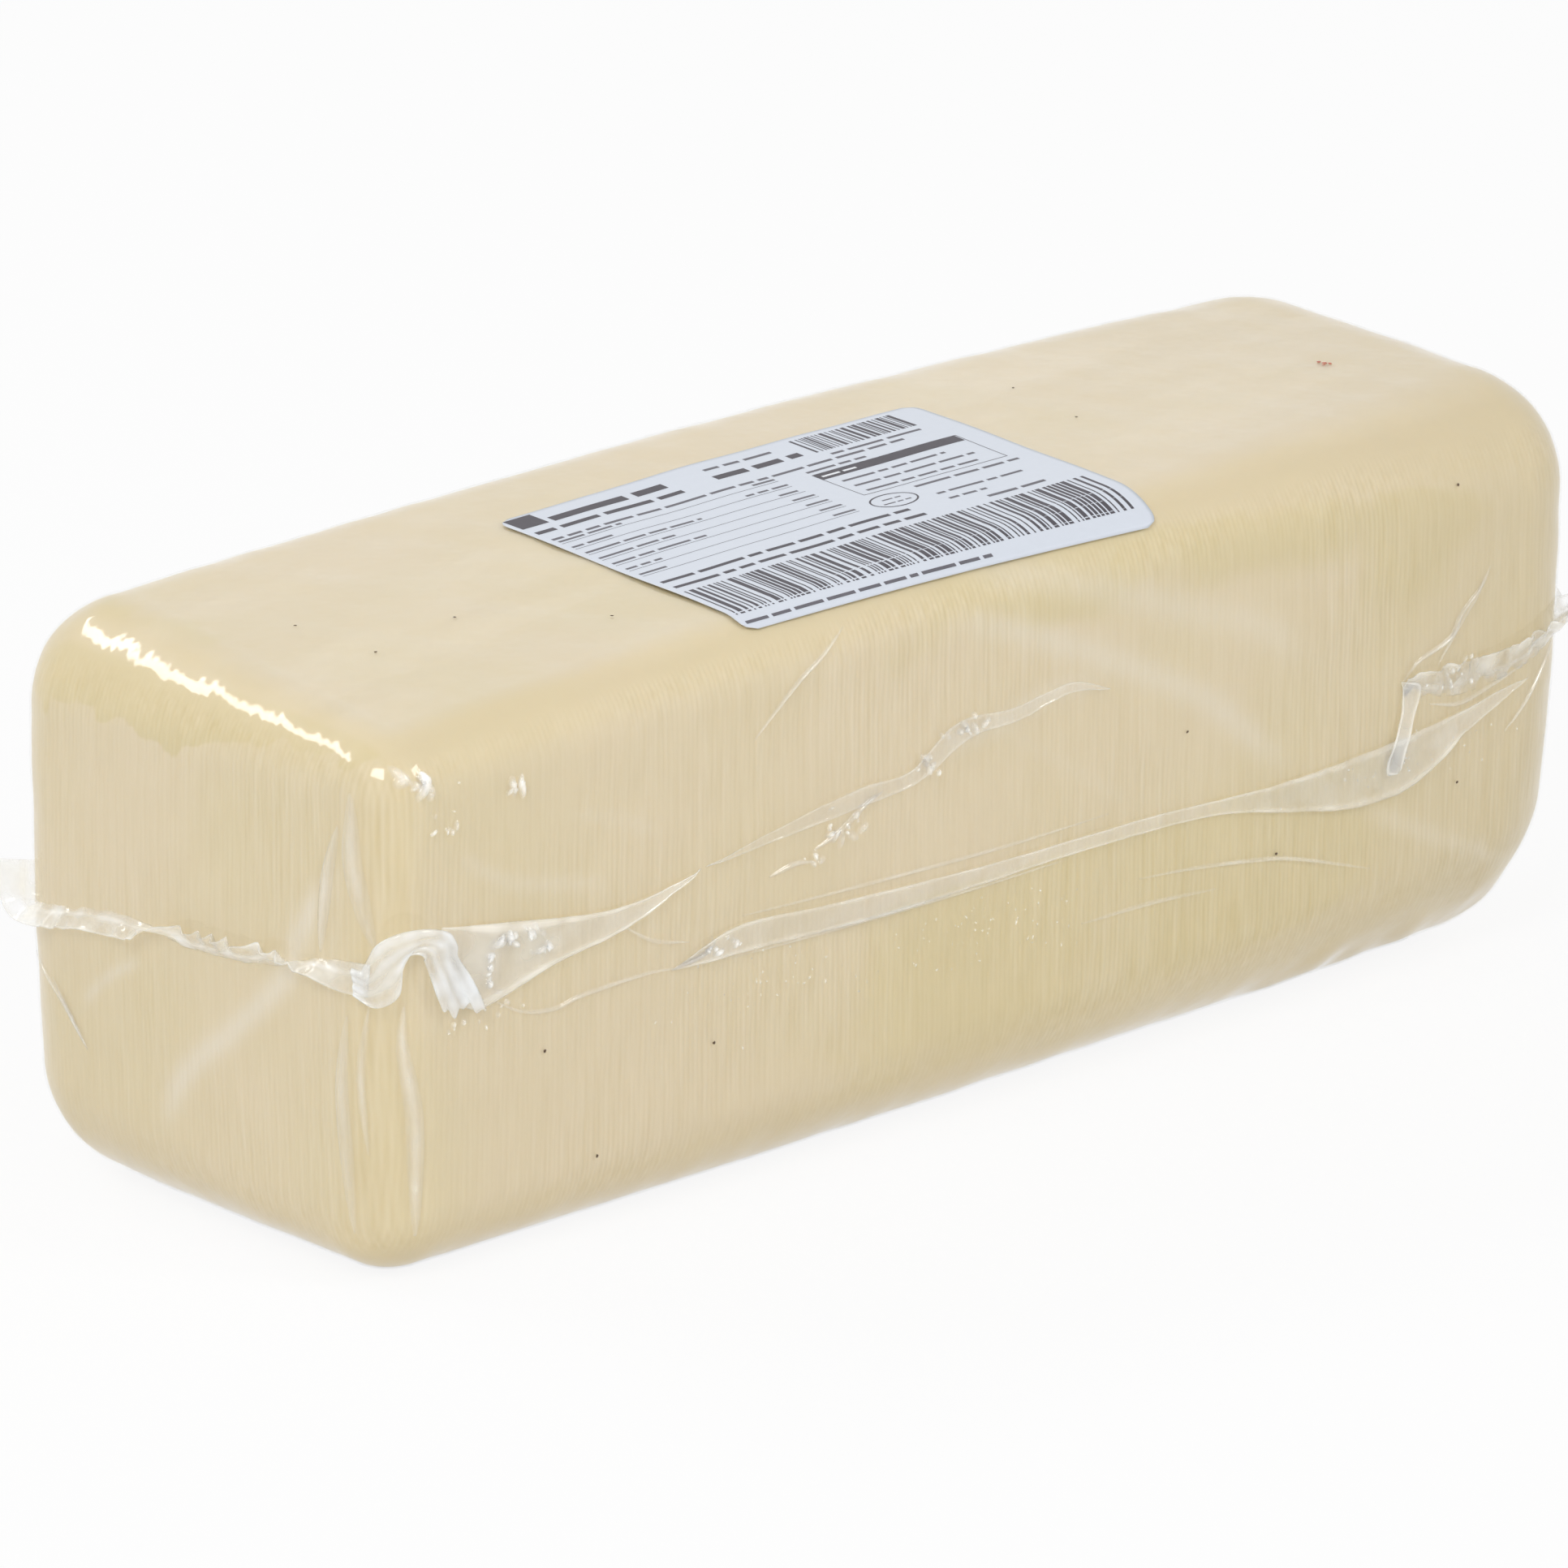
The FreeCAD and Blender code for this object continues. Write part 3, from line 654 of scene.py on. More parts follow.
def make_creases(material):
    points = []
    quads = []
    milk = []
    count = 0
    for line, width, height in CREASES:
        path = onto_skin(smooth_path(line, 0.5))
        grid, share = ridge_strip(path, width, height)
        solid, faces = sheet_solid(grid, 0.06)
        points.append(solid)
        quads.append(faces + count)
        milk.append(np.tile(0.42 * height * share.ravel(), 2))
        count += len(solid)
    points = np.vstack(points)
    haze = np.concatenate(milk) * (1 + 0.5 * waves(points, 6, 51))
    make_piece("bag_creases", points, np.vstack(quads), material, (),
               {"haze": np.clip(haze, 0, 1)})


# ---- End seals -----------------------------------------------------------------------

def end_hub(side):
    return np.array([side * (LENGTH - WIDTH) / 2, 0, 0])


def around(hub, bearing, height):
    """The skin seen from a hub at bearings in degrees, 0 along +X and 90 along +Y."""
    turn = np.radians(bearing)
    direction = np.stack([np.cos(turn), np.sin(turn), np.zeros_like(turn)], axis=-1)
    start = np.broadcast_to(hub, direction.shape) + np.array([0, 0, 1.0]) * np.asarray(height)[..., None]
    return march(start, direction)


def stand_off(hub, bearing, height, distance):
    """Points that far off the skin, level with it."""
    on = around(hub, bearing, height)
    normal = skin_normal(on)
    normal[..., 2] = 0
    return on + unit(normal) * np.asarray(distance)[..., None]


def seal_grid(hub, stations, columns, step=0.35):
    """A strip through stations of (bearing, height, root depth, lift in degrees, width)."""
    steps = smooth_path(np.array(stations, float), 1.0)
    rough = around(hub, steps[:, 0], steps[:, 1])
    run = np.r_[0, np.cumsum(np.linalg.norm(np.diff(rough, axis=0), axis=1))]
    even = np.linspace(0, run[-1], int(run[-1] / step))
    s = np.stack([np.interp(even, run, steps[:, i]) for i in range(5)], axis=1)
    root = stand_off(hub, s[:, 0], s[:, 1], s[:, 2])
    lift = np.radians(s[:, 3])
    rim = stand_off(hub, s[:, 0], s[:, 1], s[:, 4] * np.cos(lift))
    rim[:, 2] += s[:, 4] * np.sin(lift)
    share = np.linspace(0, 1, columns)[None, :, None]
    return root[:, None] * (1 - share) + rim[:, None] * share, even


def ruffled(grid, run, pitch, height, seed, start=0.0, end=1.0):
    """Waves that grow towards the rim, uneven in length and in height."""
    rows, columns = grid.shape[:2]
    dice = np.random.default_rng(seed)
    beat = run / pitch + 0.35 * np.sin(run / pitch * 1.7 + 1.0) + 0.25 * np.sin(run / pitch * 0.6)
    size = 0.65 + 0.45 * np.sin(run / (pitch * 1.9) + dice.uniform(0, 6))
    size = size * smoothstep(start, start + 0.06, run / run[-1]) * smoothstep(end, end - 0.06, run / run[-1])
    wave = np.sin(2 * np.pi * beat) + 0.35 * np.sin(4 * np.pi * beat + 0.8)
    share = np.linspace(0, 1, columns)[None, :]
    along = unit(np.gradient(grid, axis=0))
    across = unit(np.gradient(grid, axis=1))
    lift = unit(np.cross(along, across))
    move = height * (wave * size)[:, None] * share ** 1.4
    return grid + lift * move[..., None]


SEAL_LEFT = [
    (137.0, 54.5, -0.4, 5, 5.4), (137.5, 50.5, -0.4, 10, 6.0), (139.0, 48.4, -0.4, -20, 5.3),
    (145.5, 49.6, -0.4, -55, 4.4), (153.0, 51.3, -0.4, -60, 4.2), (161.0, 52.3, -0.4, -60, 4.2),
    (169.0, 52.4, -0.4, -50, 3.8), (175.0, 51.9, -0.4, 10, 3.4), (180.0, 51.0, -0.4, 50, 4.4),
    (191.0, 51.0, -0.4, 58, 4.4), (201.0, 51.8, -0.4, 56, 4.4), (209.0, 53.4, -0.4, 45, 4.2),
    (214.0, 55.6, -0.4, -10, 3.4), (218.0, 57.0, -0.4, -50, 4.2), (222.0, 57.4, -0.2, -60, 5.2), (225.0, 57.4, 0.4, -62, 5.6),
]
SEAL_RIGHT = [
    (47.0, 57.0, -0.4, 15, 5.2), (43.0, 54.0, -0.4, 0, 6.0), (35.0, 53.0, -0.4, -25, 5.2),
    (24.0, 54.0, -0.4, -30, 4.9), (12.0, 55.0, -0.4, -10, 4.9), (0.0, 56.0, -0.4, 20, 4.9),
    (-12.0, 57.0, -0.4, 30, 4.9), (-24.0, 58.0, -0.4, 15, 4.9), (-34.0, 58.0, -0.4, 10, 5.2),
    (-43.0, 57.0, -0.4, 35, 5.6), (-53.0, 55.2, -0.3, 62, 6.2), (-64.0, 52.6, -0.2, 72, 6.2),
    (-75.0, 51.9, -0.2, 76, 6.4), (-86.0, 53.0, -0.2, 76, 5.6), (-95.0, 54.8, -0.2, 74, 3.4),
]


def seal_piece(name, grid, thickness, milk, creasing, material, replaced):
    rows, columns = grid.shape[:2]
    flat = grid.reshape(-1, 3)
    crumple = creasing * (np.abs(waves(flat, 3.2, 61)) + 0.3 * waves(flat, 1.3, 62))
    along = unit(np.gradient(grid, axis=0))
    across = unit(np.gradient(grid, axis=1))
    lift = unit(np.cross(along, across))
    grid = grid + lift * crumple.reshape(rows, columns, 1)
    points, quads = sheet_solid(grid, thickness)
    share = np.linspace(0, 1, columns)[None, :] * np.ones((rows, 1))
    weld = np.exp(-((share - 0.35) / 0.10) ** 2) + 0.8 * np.exp(-((share - 0.98) / 0.06) ** 2)
    haze = milk * (0.7 + 0.6 * weld) + 0.18 * waves(flat, 3.0, 63).reshape(rows, columns)
    make_piece(name, points, quads, material, replaced,
               {"haze": np.tile(np.clip(haze, 0.03, 1).ravel(), 2)})


CROOK_BEARING = 230.6
CROOK_HEIGHT = 57.8
CROOK_OUTER = 6.5
CROOK_HOLE = 1.7
CROOK_STANDOFF = 3.8
DEGREES_PER_MM = 0.87


def crook_grid(hub, columns):
    """The lobe, the crook with its open middle, and the tail that fans out below it."""
    outer = [(222.5, 56.6, 0.3), (224.3, 56.6, 1.4), (224.4, 57.4, 2.4)]
    inner = [(223.2, 52.6, 2.6), (226.0, 50.9, 3.4), (228.6, 53.0, 3.4)]
    for angle in (170, 140, 110, 80, 50, 20, 0):
        turn = math.radians(angle)
        stand = CROOK_STANDOFF * (0.7 + 0.3 * math.sin(turn))
        for line, radius, share in ((outer, CROOK_OUTER, 1.0), (inner, CROOK_HOLE, 0.6)):
            line.append((CROOK_BEARING + DEGREES_PER_MM * radius * math.cos(turn),
                         CROOK_HEIGHT + radius * math.sin(turn), share * stand))
    tail_outer = CROOK_BEARING + DEGREES_PER_MM * CROOK_OUTER
    tail_inner = CROOK_BEARING + DEGREES_PER_MM * CROOK_HOLE
    for share in (0.35, 0.7, 1.0):
        outer.append((tail_outer + 5.6 * share, CROOK_HEIGHT - 10.2 * share, 3.0 - 1.2 * share))
        inner.append((tail_inner + 2.4 * share, CROOK_HEIGHT - 9.6 * share, 1.6))
    lines = []
    for line in (outer, inner):
        line = smooth_path(np.array(line) * [1 / DEGREES_PER_MM, 1, 1], 0.3)
        t = np.linspace(0, 1, 190)
        line = np.stack([np.interp(t, np.linspace(0, 1, len(line)), line[:, i]) for i in range(3)], 1)
        lines.append(stand_off(hub, line[:, 0] * DEGREES_PER_MM, line[:, 1], line[:, 2]))
    share = np.linspace(0, 1, columns)[None, :, None]
    grid = lines[0][:, None] * (1 - share) + lines[1][:, None] * share
    # Flutes run lengthwise, and the outer edge rolls over like a pipe.
    flute = np.sin(share[..., 0] * 2 * np.pi * 3.2 + 0.6 * np.sin(t * 9)[:, None])
    roll = np.exp(-((share[..., 0] - 0.16) / 0.16) ** 2)
    normal = skin_normal(grid.reshape(-1, 3)).reshape(grid.shape)
    # The cut end is uneven.
    ragged = np.sin(share[0, :, 0] * 11.0) + 0.7 * np.sin(share[0, :, 0] * 27.0 + 1.0)
    grid[..., 2] -= 0.75 * ragged[None, :] * smoothstep(0.86, 1.0, t)[:, None]
    return grid + normal * (0.15 * flute + 0.8 * roll)[..., None]


def make_seals(material, crook_material):
    left = end_hub(-1)
    right = end_hub(1)
    grid, run = seal_grid(left, SEAL_LEFT, 20)
    grid = ruffled(grid, run, 5.6, 0.8, 71, 0.12, 1.0)
    seal_piece("end_seal_left_film", grid, 0.16, 0.40, 0.14, material, ["end_seal_left"])
    grid = crook_grid(left, 30)
    rows, columns = grid.shape[:2]
    points, quads = sheet_solid(grid, 0.18)
    streaks = np.sin(np.tile(np.linspace(0, 21, columns), rows))
    haze = 0.38 + 0.14 * waves(points, 4.0, 64) + 0.09 * np.tile(streaks, 2)
    make_piece("end_seal_left_crook", points, quads, crook_material, ["end_seal_left"],
               {"haze": np.clip(haze, 0.1, 1)})
    grid, run = seal_grid(right, SEAL_RIGHT, 20)
    grid = ruffled(grid, run, 4.8, 1.0, 72, 0.06, 1.0)
    seal_piece("end_seal_right_film", grid, 0.16, 0.26, 0.45, material, ["end_seal_right"])


# ---- Label ---------------------------------------------------------------------------

LABEL_LENGTH = 95.0
LABEL_DEPTH = 62.4
LABEL_LEFT = -62.0
LABEL_BACK = 15.2
LABEL_TURN = -0.6
LABEL_LIFT = 0.42         # how far the middle of the paper is off the skin
LABEL_CORNER = 2.6
LABEL_THICKNESS = 0.14
PRINT_LIFT = 0.015        # how far the print is drawn above the paper


def label_profiles():
    """Lines down the skin over the label, at even steps along X, with their lengths."""
    turn = math.radians(LABEL_TURN)
    u = np.linspace(-1, LABEL_LENGTH + 1, 60)
    angles = np.radians(np.linspace(62, 200, 460))
    profiles = []
    for along in u:
        x = LABEL_LEFT + along * math.cos(turn)
        back = LABEL_BACK + along * math.sin(turn)
        start = np.tile([x, 0.0, HEIGHT / 2], (len(angles), 1))
        way = np.stack([np.zeros_like(angles), np.cos(angles), np.sin(angles)], axis=1)
        line = march(start, way)
        run = np.r_[0, np.cumsum(np.linalg.norm(np.diff(line, axis=0), axis=1))]
        begin = np.interp(-back, -line[:, 1], run)
        profiles.append((run - begin, line))
    return u, profiles


LABEL_U, LABEL_PROFILES = label_profiles()


def on_label(u, v, lift):
    """Places over the label: u mm from its left edge, v mm from its back edge."""
    shape = u.shape
    u = u.ravel()
    v = v.ravel()
    column = np.clip((u - LABEL_U[0]) / (LABEL_U[1] - LABEL_U[0]), 0, len(LABEL_U) - 1.001)
    first = column.astype(int)
    share = (column - first)[:, None]
    found = np.zeros((len(u), 3))
    for c in np.unique(first):
        here = first == c
        ends = []
        for run, line in LABEL_PROFILES[c:c + 2]:
            ends.append(np.stack([np.interp(v[here], run, line[:, i]) for i in range(3)], axis=1))
        found[here] = ends[0] * (1 - share[here]) + ends[1] * share[here]
    turn = math.radians(LABEL_TURN)
    found[:, 0] -= math.sin(turn) * v
    found = found + skin_normal(found) * lift
    return found.reshape(*shape, 3)


def make_label(material):
    rows = 96
    columns = 70
    v = np.linspace(0, LABEL_DEPTH, columns)
    inset = np.zeros(columns)
    for i, depth in enumerate(v):
        near = min(depth, LABEL_DEPTH - depth)
        if near < LABEL_CORNER:
            inset[i] = LABEL_CORNER - math.sqrt(LABEL_CORNER ** 2 - (LABEL_CORNER - near) ** 2)
    share = np.linspace(0, 1, rows)[:, None]
    u = inset[None, :] + share * (LABEL_LENGTH - 2 * inset[None, :])
    grid = on_label(u, np.broadcast_to(v, u.shape), LABEL_LIFT)
    ripple = 0.10 * waves(grid.reshape(-1, 3), 14, 81).reshape(rows, columns)
    grid = grid + skin_normal(grid.reshape(-1, 3)).reshape(grid.shape) * ripple[..., None]
    points, quads = sheet_solid(grid, LABEL_THICKNESS)
    make_piece("label_paper", points, quads, material, ["label"])


class Print:
    """Collects flat shapes that are printed on the label in one colour."""

    def __init__(self):
        self.points = []
        self.quads = []
        self.count = 0

    def patch(self, u, v):
        """A grid of places, given as two arrays of the same shape."""
        grid = on_label(u, v, LABEL_LIFT + LABEL_THICKNESS / 2)
        flat = grid.reshape(-1, 3)
        ripple = 0.10 * waves(flat, 14, 81)
        normal = skin_normal(flat)
        self.points.append(flat + normal * (ripple + PRINT_LIFT)[:, None])
        self.quads.append(grid_faces(*u.shape) + self.count)
        self.count += len(flat)

    def bar(self, u0, u1, v0, v1):
        across = max(2, int((u1 - u0) / 2.5) + 1)
        down = max(2, int((v1 - v0) / 1.2) + 1)
        u, v = np.meshgrid(np.linspace(u0, u1, across), np.linspace(v0, v1, down), indexing="ij")
        self.patch(u, v)

    def frame(self, u0, u1, v0, v1, line):
        self.bar(u0, u1, v0, v0 + line)
        self.bar(u0, u1, v1 - line, v1)
        self.bar(u0, u0 + line, v0, v1)
        self.bar(u1 - line, u1, v0, v1)

    def ring(self, u, v, radius_u, radius_v, line):
        turn = np.linspace(0, 2 * math.pi, 49)[:, None]
        grow = np.array([[0.0, line]])
        self.patch(u + (radius_u + grow) * np.cos(turn), v + (radius_v + grow) * np.sin(turn))

    def words(self, u0, u1, v0, v1, weight, seed):
        """Stands for a line of text: one plain bar for each word, and no letters."""
        dice = np.random.default_rng(seed)
        size = v1 - v0
        half = size * (0.10 + 0.7 * weight)
        middle = v0 + 0.6 * size
        u = u0
        while u < u1 - 0.4 * size:
            end = min(u + size * dice.uniform(1.0, 4.6), u1)
            self.bar(u, end, middle - half, middle + half)
            u = end + 0.5 * size

    def stripes(self, u0, u1, v0, v1, thin, seed):
        """Upright bars of random widths, which stand for a bar code and hold no data."""
        dice = np.random.default_rng(seed)
        u = u0
        while u < u1:
            wide = thin * dice.choice([1, 1, 1, 2, 2, 3])
            self.bar(u, min(u + wide, u1), v0, v1)
            u += wide + thin * dice.choice([1, 1, 2, 2, 3])

    def make(self, name, material):
        make_piece(name, np.vstack(self.points), np.vstack(self.quads), material)


def make_print(dark_material, grey_material):
    dark = Print()
    dark.bar(0.9, 6.8, 0.7, 5.8)
    dark.words(8.0, 33.5, 2.6, 6.4, 0.26, 101)
    dark.words(1.2, 36.0, 7.2, 9.9, 0.20, 102)
    dark.words(42.5, 62.0, 5.6, 9.0, 0.24, 103)
    dark.stripes(64.7, 88.3, 1.6, 8.8, 0.28, 104)
    dark.bar(56.2, 89.0, 16.7, 19.6)
    dark.ring(58.6, 34.6, 4.6, 2.8, 0.35)
    dark.words(1.4, 57.4, 38.4, 40.6, 0.17, 105)
    dark.words(1.4, 60.0, 41.6, 43.8, 0.17, 106)
    dark.stripes(1.2, 92.2, 45.4, 58.4, 0.34, 107)
    dark.make("label_print_dark", dark_material)
    grey = Print()
    grey.words(43.4, 59.2, 2.4, 4.6, 0.13, 111)
    grey.words(66.2, 87.5, 9.6, 11.6, 0.13, 112)
    grey.words(1.2, 82.0, 11.6, 13.6, 0.14, 113)
    grey.words(56.4, 70.0, 14.2, 16.0, 0.14, 114)
    grey.frame(56.2, 89.4, 16.7, 29.8, 0.2)
    for i, (end, v) in enumerate(((82.0, 21.0), (86.0, 24.0), (84.0, 27.0))):
        grey.words(58.4, end, v, v + 1.8, 0.13, 120 + i)
    grey.words(66.0, 90.0, 30.6, 32.6, 0.14, 125)
    grey.words(66.4, 86.0, 35.8, 37.6, 0.14, 126)
    grey.words(66.4, 75.0, 38.8, 40.6, 0.14, 127)
    grey.words(72.4, 86.0, 41.8, 43.8, 0.16, 128)
    grey.words(56.6, 60.8, 33.2, 34.2, 0.14, 129)
    grey.words(55.4, 61.6, 35.0, 36.0, 0.14, 130)
    for i in range(7):
        v = 15.2 + 3.35 * i
        grey.words(1.4, 1.4 + (14, 9, 26, 17, 21, 8, 6)[i], v - 2.0, v - 0.3, 0.13, 131 + i)
        grey.bar(1.2, 50.0, v, v + 0.14)
        grey.words(40.5 if i == 1 else 45.0, 50.0, v - 2.0, v - 0.3, 0.13, 141 + i)
    grey.words(1.2, 57.0, 59.6, 61.4, 0.13, 151)
    grey.make("label_print_grey", grey_material)
    pale = Print()
    pale.words(57.2, 65.0, 17.4, 18.9, 0.16, 161)
    for part in pale.points:
        part += skin_normal(part) * 0.012
    pale.make("label_print_pale", bpy.data.materials["label_paper"])


# ---- Specks --------------------------------------------------------------------------

SPECKS = [(-118, 2, 99), (-96, -13, 100), (-116, -16, 98), (-76, -30, 100), (54, 11, 106),
          (52, -7, 105), (-110, -51, 36), (-98, -50, 15), (-72, -50, 29), (39, -49, 60),
          (107, -45, 90), (62, -47, 33), (95, -46, 46), (108, -44, 36)]


def flake(centre, size, seed, thickness=0.08):
    """A small lumpy flake that lies on the skin: its points and its triangles."""
    dice = np.random.default_rng(seed)
    on = onto_skin(np.array([centre], float))[0]
    normal = skin_normal(on[None])[0]
    side = unit(np.cross(normal, [0.3, 0.2, 0.9]))
    other = np.cross(normal, side)
    turn = np.linspace(0, 2 * math.pi, 11)[:-1]
    reach = size / 2 * dice.uniform(0.6, 1.2, 10)
    rim = on + np.outer(np.cos(turn) * reach, side) + np.outer(np.sin(turn) * reach, other)
    points = np.vstack([rim, [on + normal * thickness], [on - normal * thickness]])
    ring = np.arange(10)
    upper = np.stack([ring, np.roll(ring, -1), np.full(10, 10)], axis=1)
    lower = np.stack([np.roll(ring, -1), ring, np.full(10, 11)], axis=1)
    return points, np.vstack([upper, lower])


def make_flakes(name, centres, sizes, lift, material):
    points = []
    faces = []
    count = 0
    for i, (centre, size) in enumerate(zip(centres, sizes)):
        p, f = flake(centre, size, 200 + i)
        points.append(p + skin_normal(p) * lift)
        faces.append(f + count)
        count += len(p)
    make_piece(name, np.vstack(points), np.vstack(faces), material)


def plain_material(name, tone, roughness, speckle=40.0, contrast=0.12):
    n = Nodes(name)
    dots = n.noise(speckle, 4.0, 0.6, n.place((10, 10, 10)))
    darker = tuple(c * (1 - contrast) for c in colour(*tone)[:3]) + (1.0,)
    base = n.mix(n.span(dots, 0.3, 0.7), darker, colour(*tone))
    bump = n.add("Bump", Strength=0.15, Distance=0.0001, Height=dots)
    return n.finish(n.add("BsdfPrincipled", Base_Color=base, Roughness=roughness, Normal=bump))


# Little blisters of film that catch the light, their milky white middles painted glints:
# the middle of each group on the front, how far it spreads to the sides and up, how many
# there are, how large the largest is, and what they lie on.
ON_BAG = 0.30
ON_FOLD = 0.75
BLISTERS = [
    ((-118, 83), (3.0, 2.5), 8, 1.8, ON_BAG), ((-138, 87.5), (3.0, 2.4), 12, 2.2, ON_BAG),
    ((-133, 80), (3.5, 5.0), 9, 1.2, ON_BAG), ((-116, 58), (7.0, 1.6), 12, 2.4, ON_FOLD),
    ((-123, 53), (0.8, 5.0), 10, 1.8, ON_FOLD), ((-111, 54), (4.0, 2.0), 6, 1.8, ON_FOLD),
    ((-121, 46), (5.0, 2.4), 8, 1.4, ON_BAG), ((-128, 44), (4.0, 2.0), 5, 1.2, ON_BAG),
    ((-50, 57), (3.0, 1.5), 7, 1.6, ON_BAG), ((-44, 61), (6.0, 3.0), 12, 1.8, ON_BAG),
    ((-24, 68.5), (4.0, 3.0), 12, 1.6, ON_FOLD), ((-14, 72.5), (4.0, 1.5), 9, 1.6, ON_FOLD),
    ((-72, 45.5), (6.0, 1.5), 9, 1.5, ON_FOLD), ((-60, 36), (22.0, 7.0), 40, 0.55, ON_BAG),
    ((-15, 36), (30.0, 7.0), 70, 0.50, ON_BAG), ((92, 42), (26.0, 3.5), 50, 0.55, ON_BAG),
    ((106, 56), (10.0, 3.0), 12, 1.6, ON_FOLD),
]


def make_blisters(material):
    dice = np.random.default_rng(91)
    rings, spokes = 5, 10
    turn = np.linspace(0, 2 * math.pi, spokes, endpoint=False)[None, :]
    reach = np.linspace(0, 1, rings)[:, None]
    places = []
    heights = []
    milk = []
    for middle, spread, how_many, largest, level in BLISTERS:
        for _ in range(how_many):
            spot = np.array(middle) + dice.normal(size=2) * np.array(spread) / 2
            size = largest * dice.uniform(0.35, 1.0)
            u = np.cos(turn) * reach * size / 2 * dice.uniform(1.0, 2.4)
            v = np.sin(turn) * reach * size / 2
            angle = dice.uniform(0, math.pi)
            x = spot[0] + u * math.cos(angle) - v * math.sin(angle)
            z = spot[1] + u * math.sin(angle) + v * math.cos(angle)
            places.append(np.stack([x, z], axis=-1))
            heights.append(level + 0.34 * size * np.sqrt(1 - reach ** 2) + 0 * turn)
            # Painted glints: each blister is milky white, most at its middle.
            milk.append(dice.uniform(0.2, 1.0) * (1 - reach) + 0 * turn)
    on = on_front(np.array(places))
    raised = on + skin_normal(on) * np.array(heights)[..., None]
    dome = grid_faces(rings, spokes, closed=True)[:, ::-1]
    faces = [dome + i * rings * spokes for i in range(len(places))]
    make_piece("bag_blisters", raised.reshape(-1, 3), np.vstack(faces), material, (),
               {"haze": np.array(milk).ravel()})


# ---- Floor, light and camera ---------------------------------------------------------

def seen_white(n, shader, whiteness):
    """White to the camera and in mirrors and glass, and the shader itself to all else."""
    path = n.add("LightPath")
    seen = n.math("MAXIMUM", path.outputs["Is Camera Ray"], path.outputs["Is Glossy Ray"])
    seen = n.math("MAXIMUM", seen, path.outputs["Is Transmission Ray"])
    white = n.add("Emission", Color=(1, 1, 1, 1), Strength=1.0)
    return n.add("MixShader", _0=n.math("MULTIPLY", seen, whiteness), _1=shader, _2=white)


def make_floor():
    bpy.ops.mesh.primitive_plane_add(size=14, location=(0, 0, -0.0004))
    floor = bpy.context.object
    floor.name = "floor"
    n = Nodes("studio_floor")
    shader = n.add("BsdfDiffuse", Color=(0.9, 0.9, 0.9, 1))
    floor.data.materials.append(n.finish(seen_white(n, shader, 0.90)))


def make_world():
    world = bpy.data.worlds.new("studio")
    bpy.context.scene.world = world
    world.use_nodes = True
    tree = world.node_tree
    background = tree.nodes["Background"]
    path = tree.nodes.new("ShaderNodeLightPath")
    seen = tree.nodes.new("ShaderNodeMath")
    seen.operation = "MAXIMUM"
    tree.links.new(path.outputs["Is Camera Ray"], seen.inputs[0])
    tree.links.new(path.outputs["Is Transmission Ray"], seen.inputs[1])
    mirrored = tree.nodes.new("ShaderNodeMath")
    mirrored.operation = "MAXIMUM"
    tree.links.new(seen.outputs[0], mirrored.inputs[0])
    tree.links.new(path.outputs["Is Glossy Ray"], mirrored.inputs[1])
    strength = tree.nodes.new("ShaderNodeMapRange")
    tree.links.new(mirrored.outputs[0], strength.inputs[0])
    strength.inputs[3].default_value = AMBIENT
    strength.inputs[4].default_value = 1.0
    tree.links.new(strength.outputs[0], background.inputs["Strength"])
    background.inputs["Color"].default_value = (1, 1, 1, 1)


AMBIENT = 0.50
# Soft boxes: the way to each from the object, its distance in m, its two sides and watts.
LIGHTS = {
    "back_left": ((-0.29, 0.70, 0.65), 2.6, 1.9, 0.22, 14.0),
    "front_left": ((-0.75, -0.45, 0.62), 2.6, 0.9, 0.7, 20.0),
    "front_right": ((0.35, -0.85, 0.60), 2.8, 0.9, 0.7, 16.0),
}


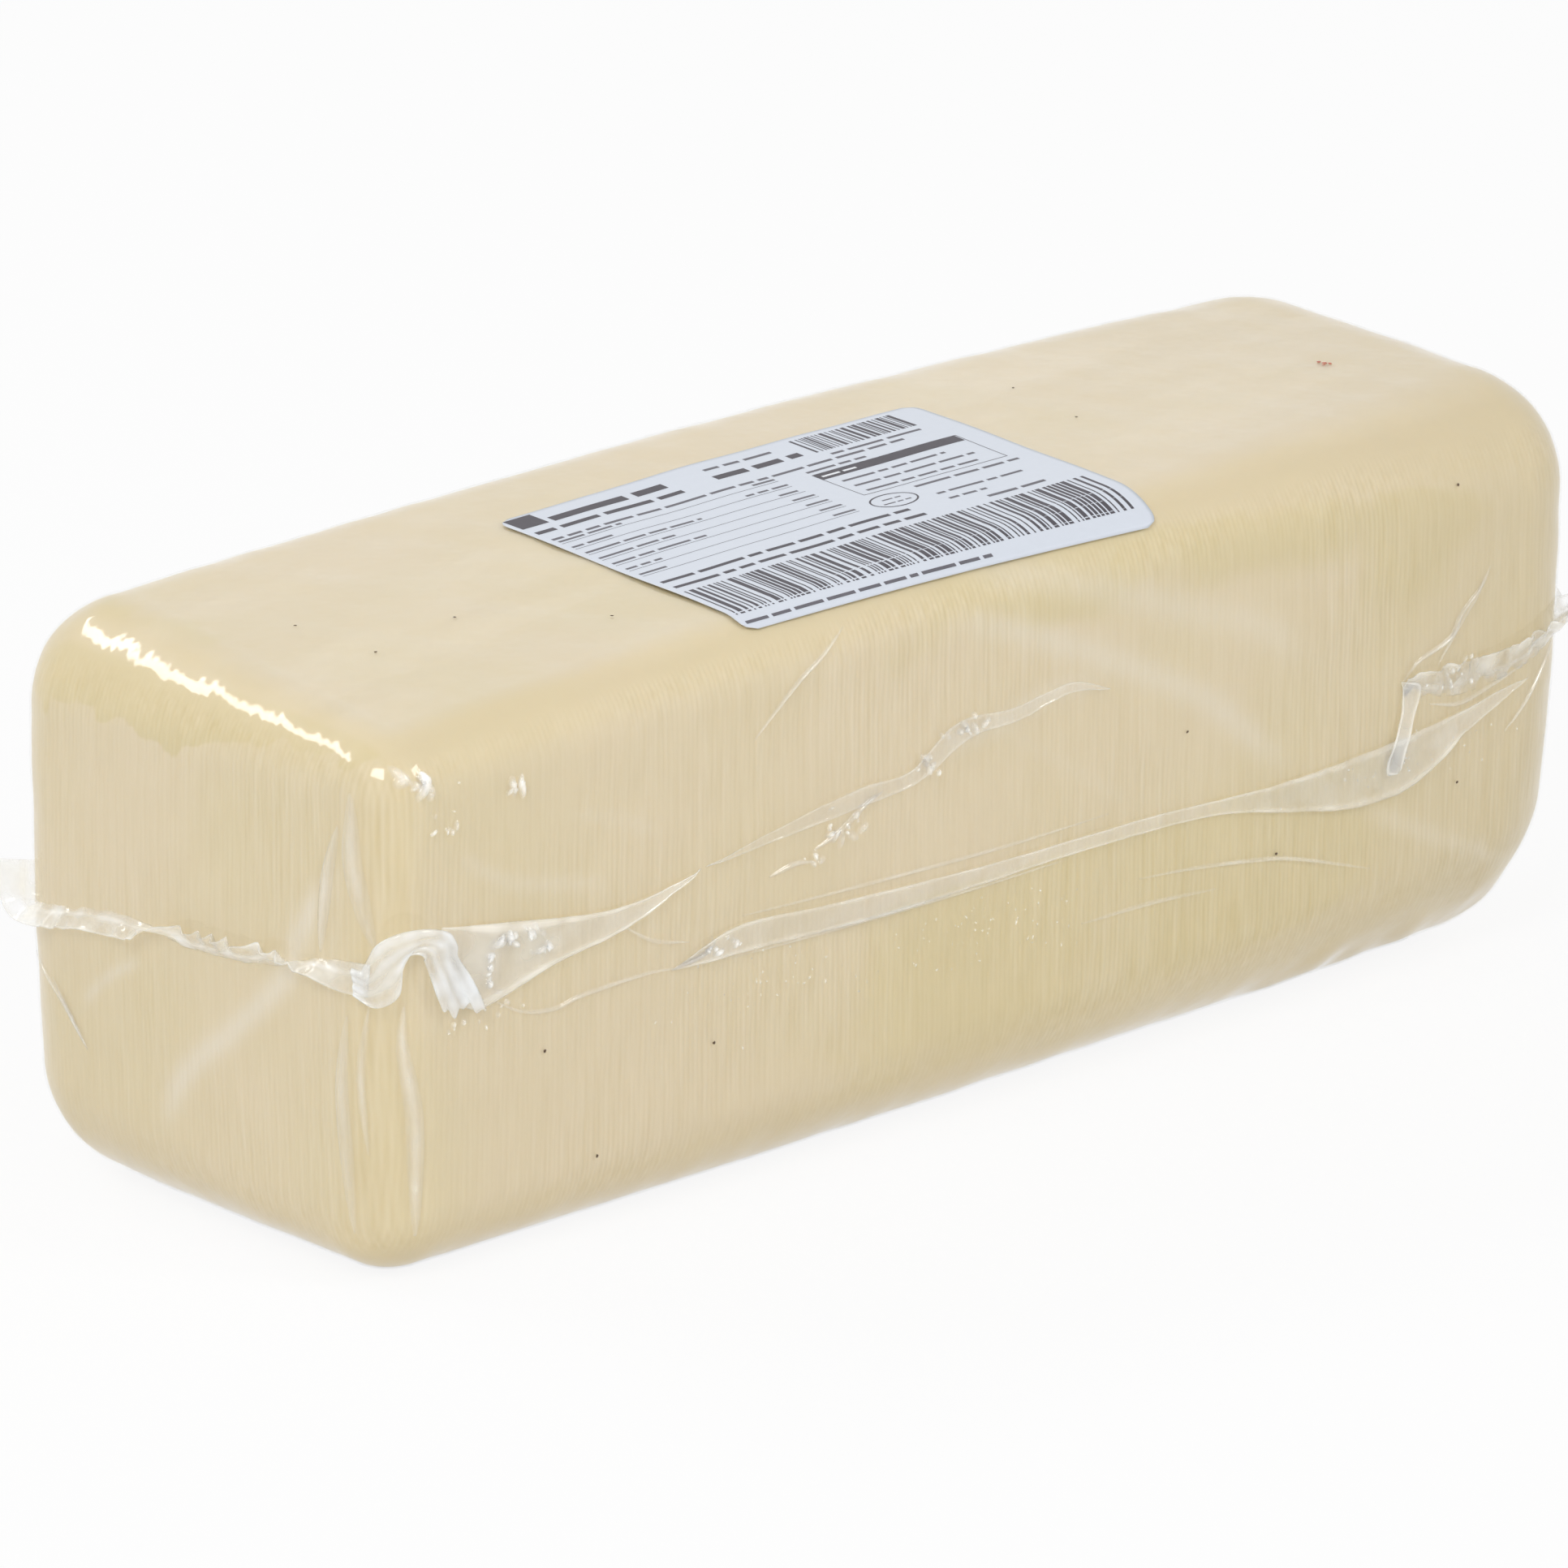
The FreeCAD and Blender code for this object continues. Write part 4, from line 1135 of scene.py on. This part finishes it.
def make_lights():
    for name, (way, distance, wide, tall, watts) in LIGHTS.items():
        data = bpy.data.lights.new(name, "AREA")
        data.shape = "RECTANGLE"
        data.size = wide
        data.size_y = tall
        data.energy = watts
        lamp = bpy.data.objects.new(name, data)
        way = Vector(way).normalized()
        lamp.location = way * distance + Vector((0, 0, HEIGHT / 2 * MM))
        lamp.rotation_euler = way.to_track_quat("Z", "Y").to_euler()
        bpy.context.scene.collection.objects.link(lamp)


CAMERA_PLACE = (-1.6388, -1.7758, 0.7881)
CAMERA_AHEAD = (0.64584, 0.70512, -0.29273)
CAMERA_LENS = 338.1


def make_camera():
    data = bpy.data.cameras.new("camera")
    data.sensor_width = 36.0
    data.lens = CAMERA_LENS
    data.clip_start = 0.1
    data.clip_end = 50
    camera = bpy.data.objects.new("camera", data)
    ahead = Vector(CAMERA_AHEAD).normalized()
    right = ahead.cross(Vector((0, 0, 1))).normalized()
    up = right.cross(ahead)
    turn = Matrix((right, up, -ahead)).transposed()
    camera.matrix_world = Matrix.Translation(CAMERA_PLACE) @ turn.to_4x4()
    bpy.context.scene.collection.objects.link(camera)
    bpy.context.scene.camera = camera


bpy.context.scene.view_settings.view_transform = "Standard"
make_camera()
make_floor()
make_world()
make_lights()

make_cheese()
make_bag()
fold_film = film_material("folded_film", 0.85, 0.10, 0.45, 260.0)
for fold_name, (fold_upper, fold_lower, fold_milk) in FOLDS.items():
    make_fold(fold_name, fold_upper, fold_lower, fold_milk, fold_film)
make_creases(film_material("creased_film", 0.8, 0.12, 0.2, 300.0))
# The blisters' near-white milk is painted glint.
make_blisters(film_material("blister_painted_glint_film", 0.95, 0.06, 0.1, 300.0, (253, 253, 252)))
make_seals(film_material("seal_film", 0.9, 0.10, 0.4, 320.0, (230, 229, 224)),
           film_material("crook_film", 0.9, 0.14, 0.3, 300.0, (233, 236, 239)))
make_label(plain_material("label_paper", (222, 228, 238), 0.42, 60.0, 0.015))
make_print(plain_material("label_ink", (72, 68, 76), 0.5), plain_material("label_ink_grey", (104, 102, 110), 0.5))
make_flakes("specks", SPECKS, [0.62] * len(SPECKS), 0.1, plain_material("speck", (96, 74, 52), 0.6))
red = [(108, -11, 105), (108.6, -11.8, 105), (107.6, -10.0, 105), (107.2, -11.6, 105)]
make_flakes("red_fleck", red, [1.1, 0.8, 0.9, 0.6], 0.1, plain_material("red_fleck", (205, 96, 78), 0.5))
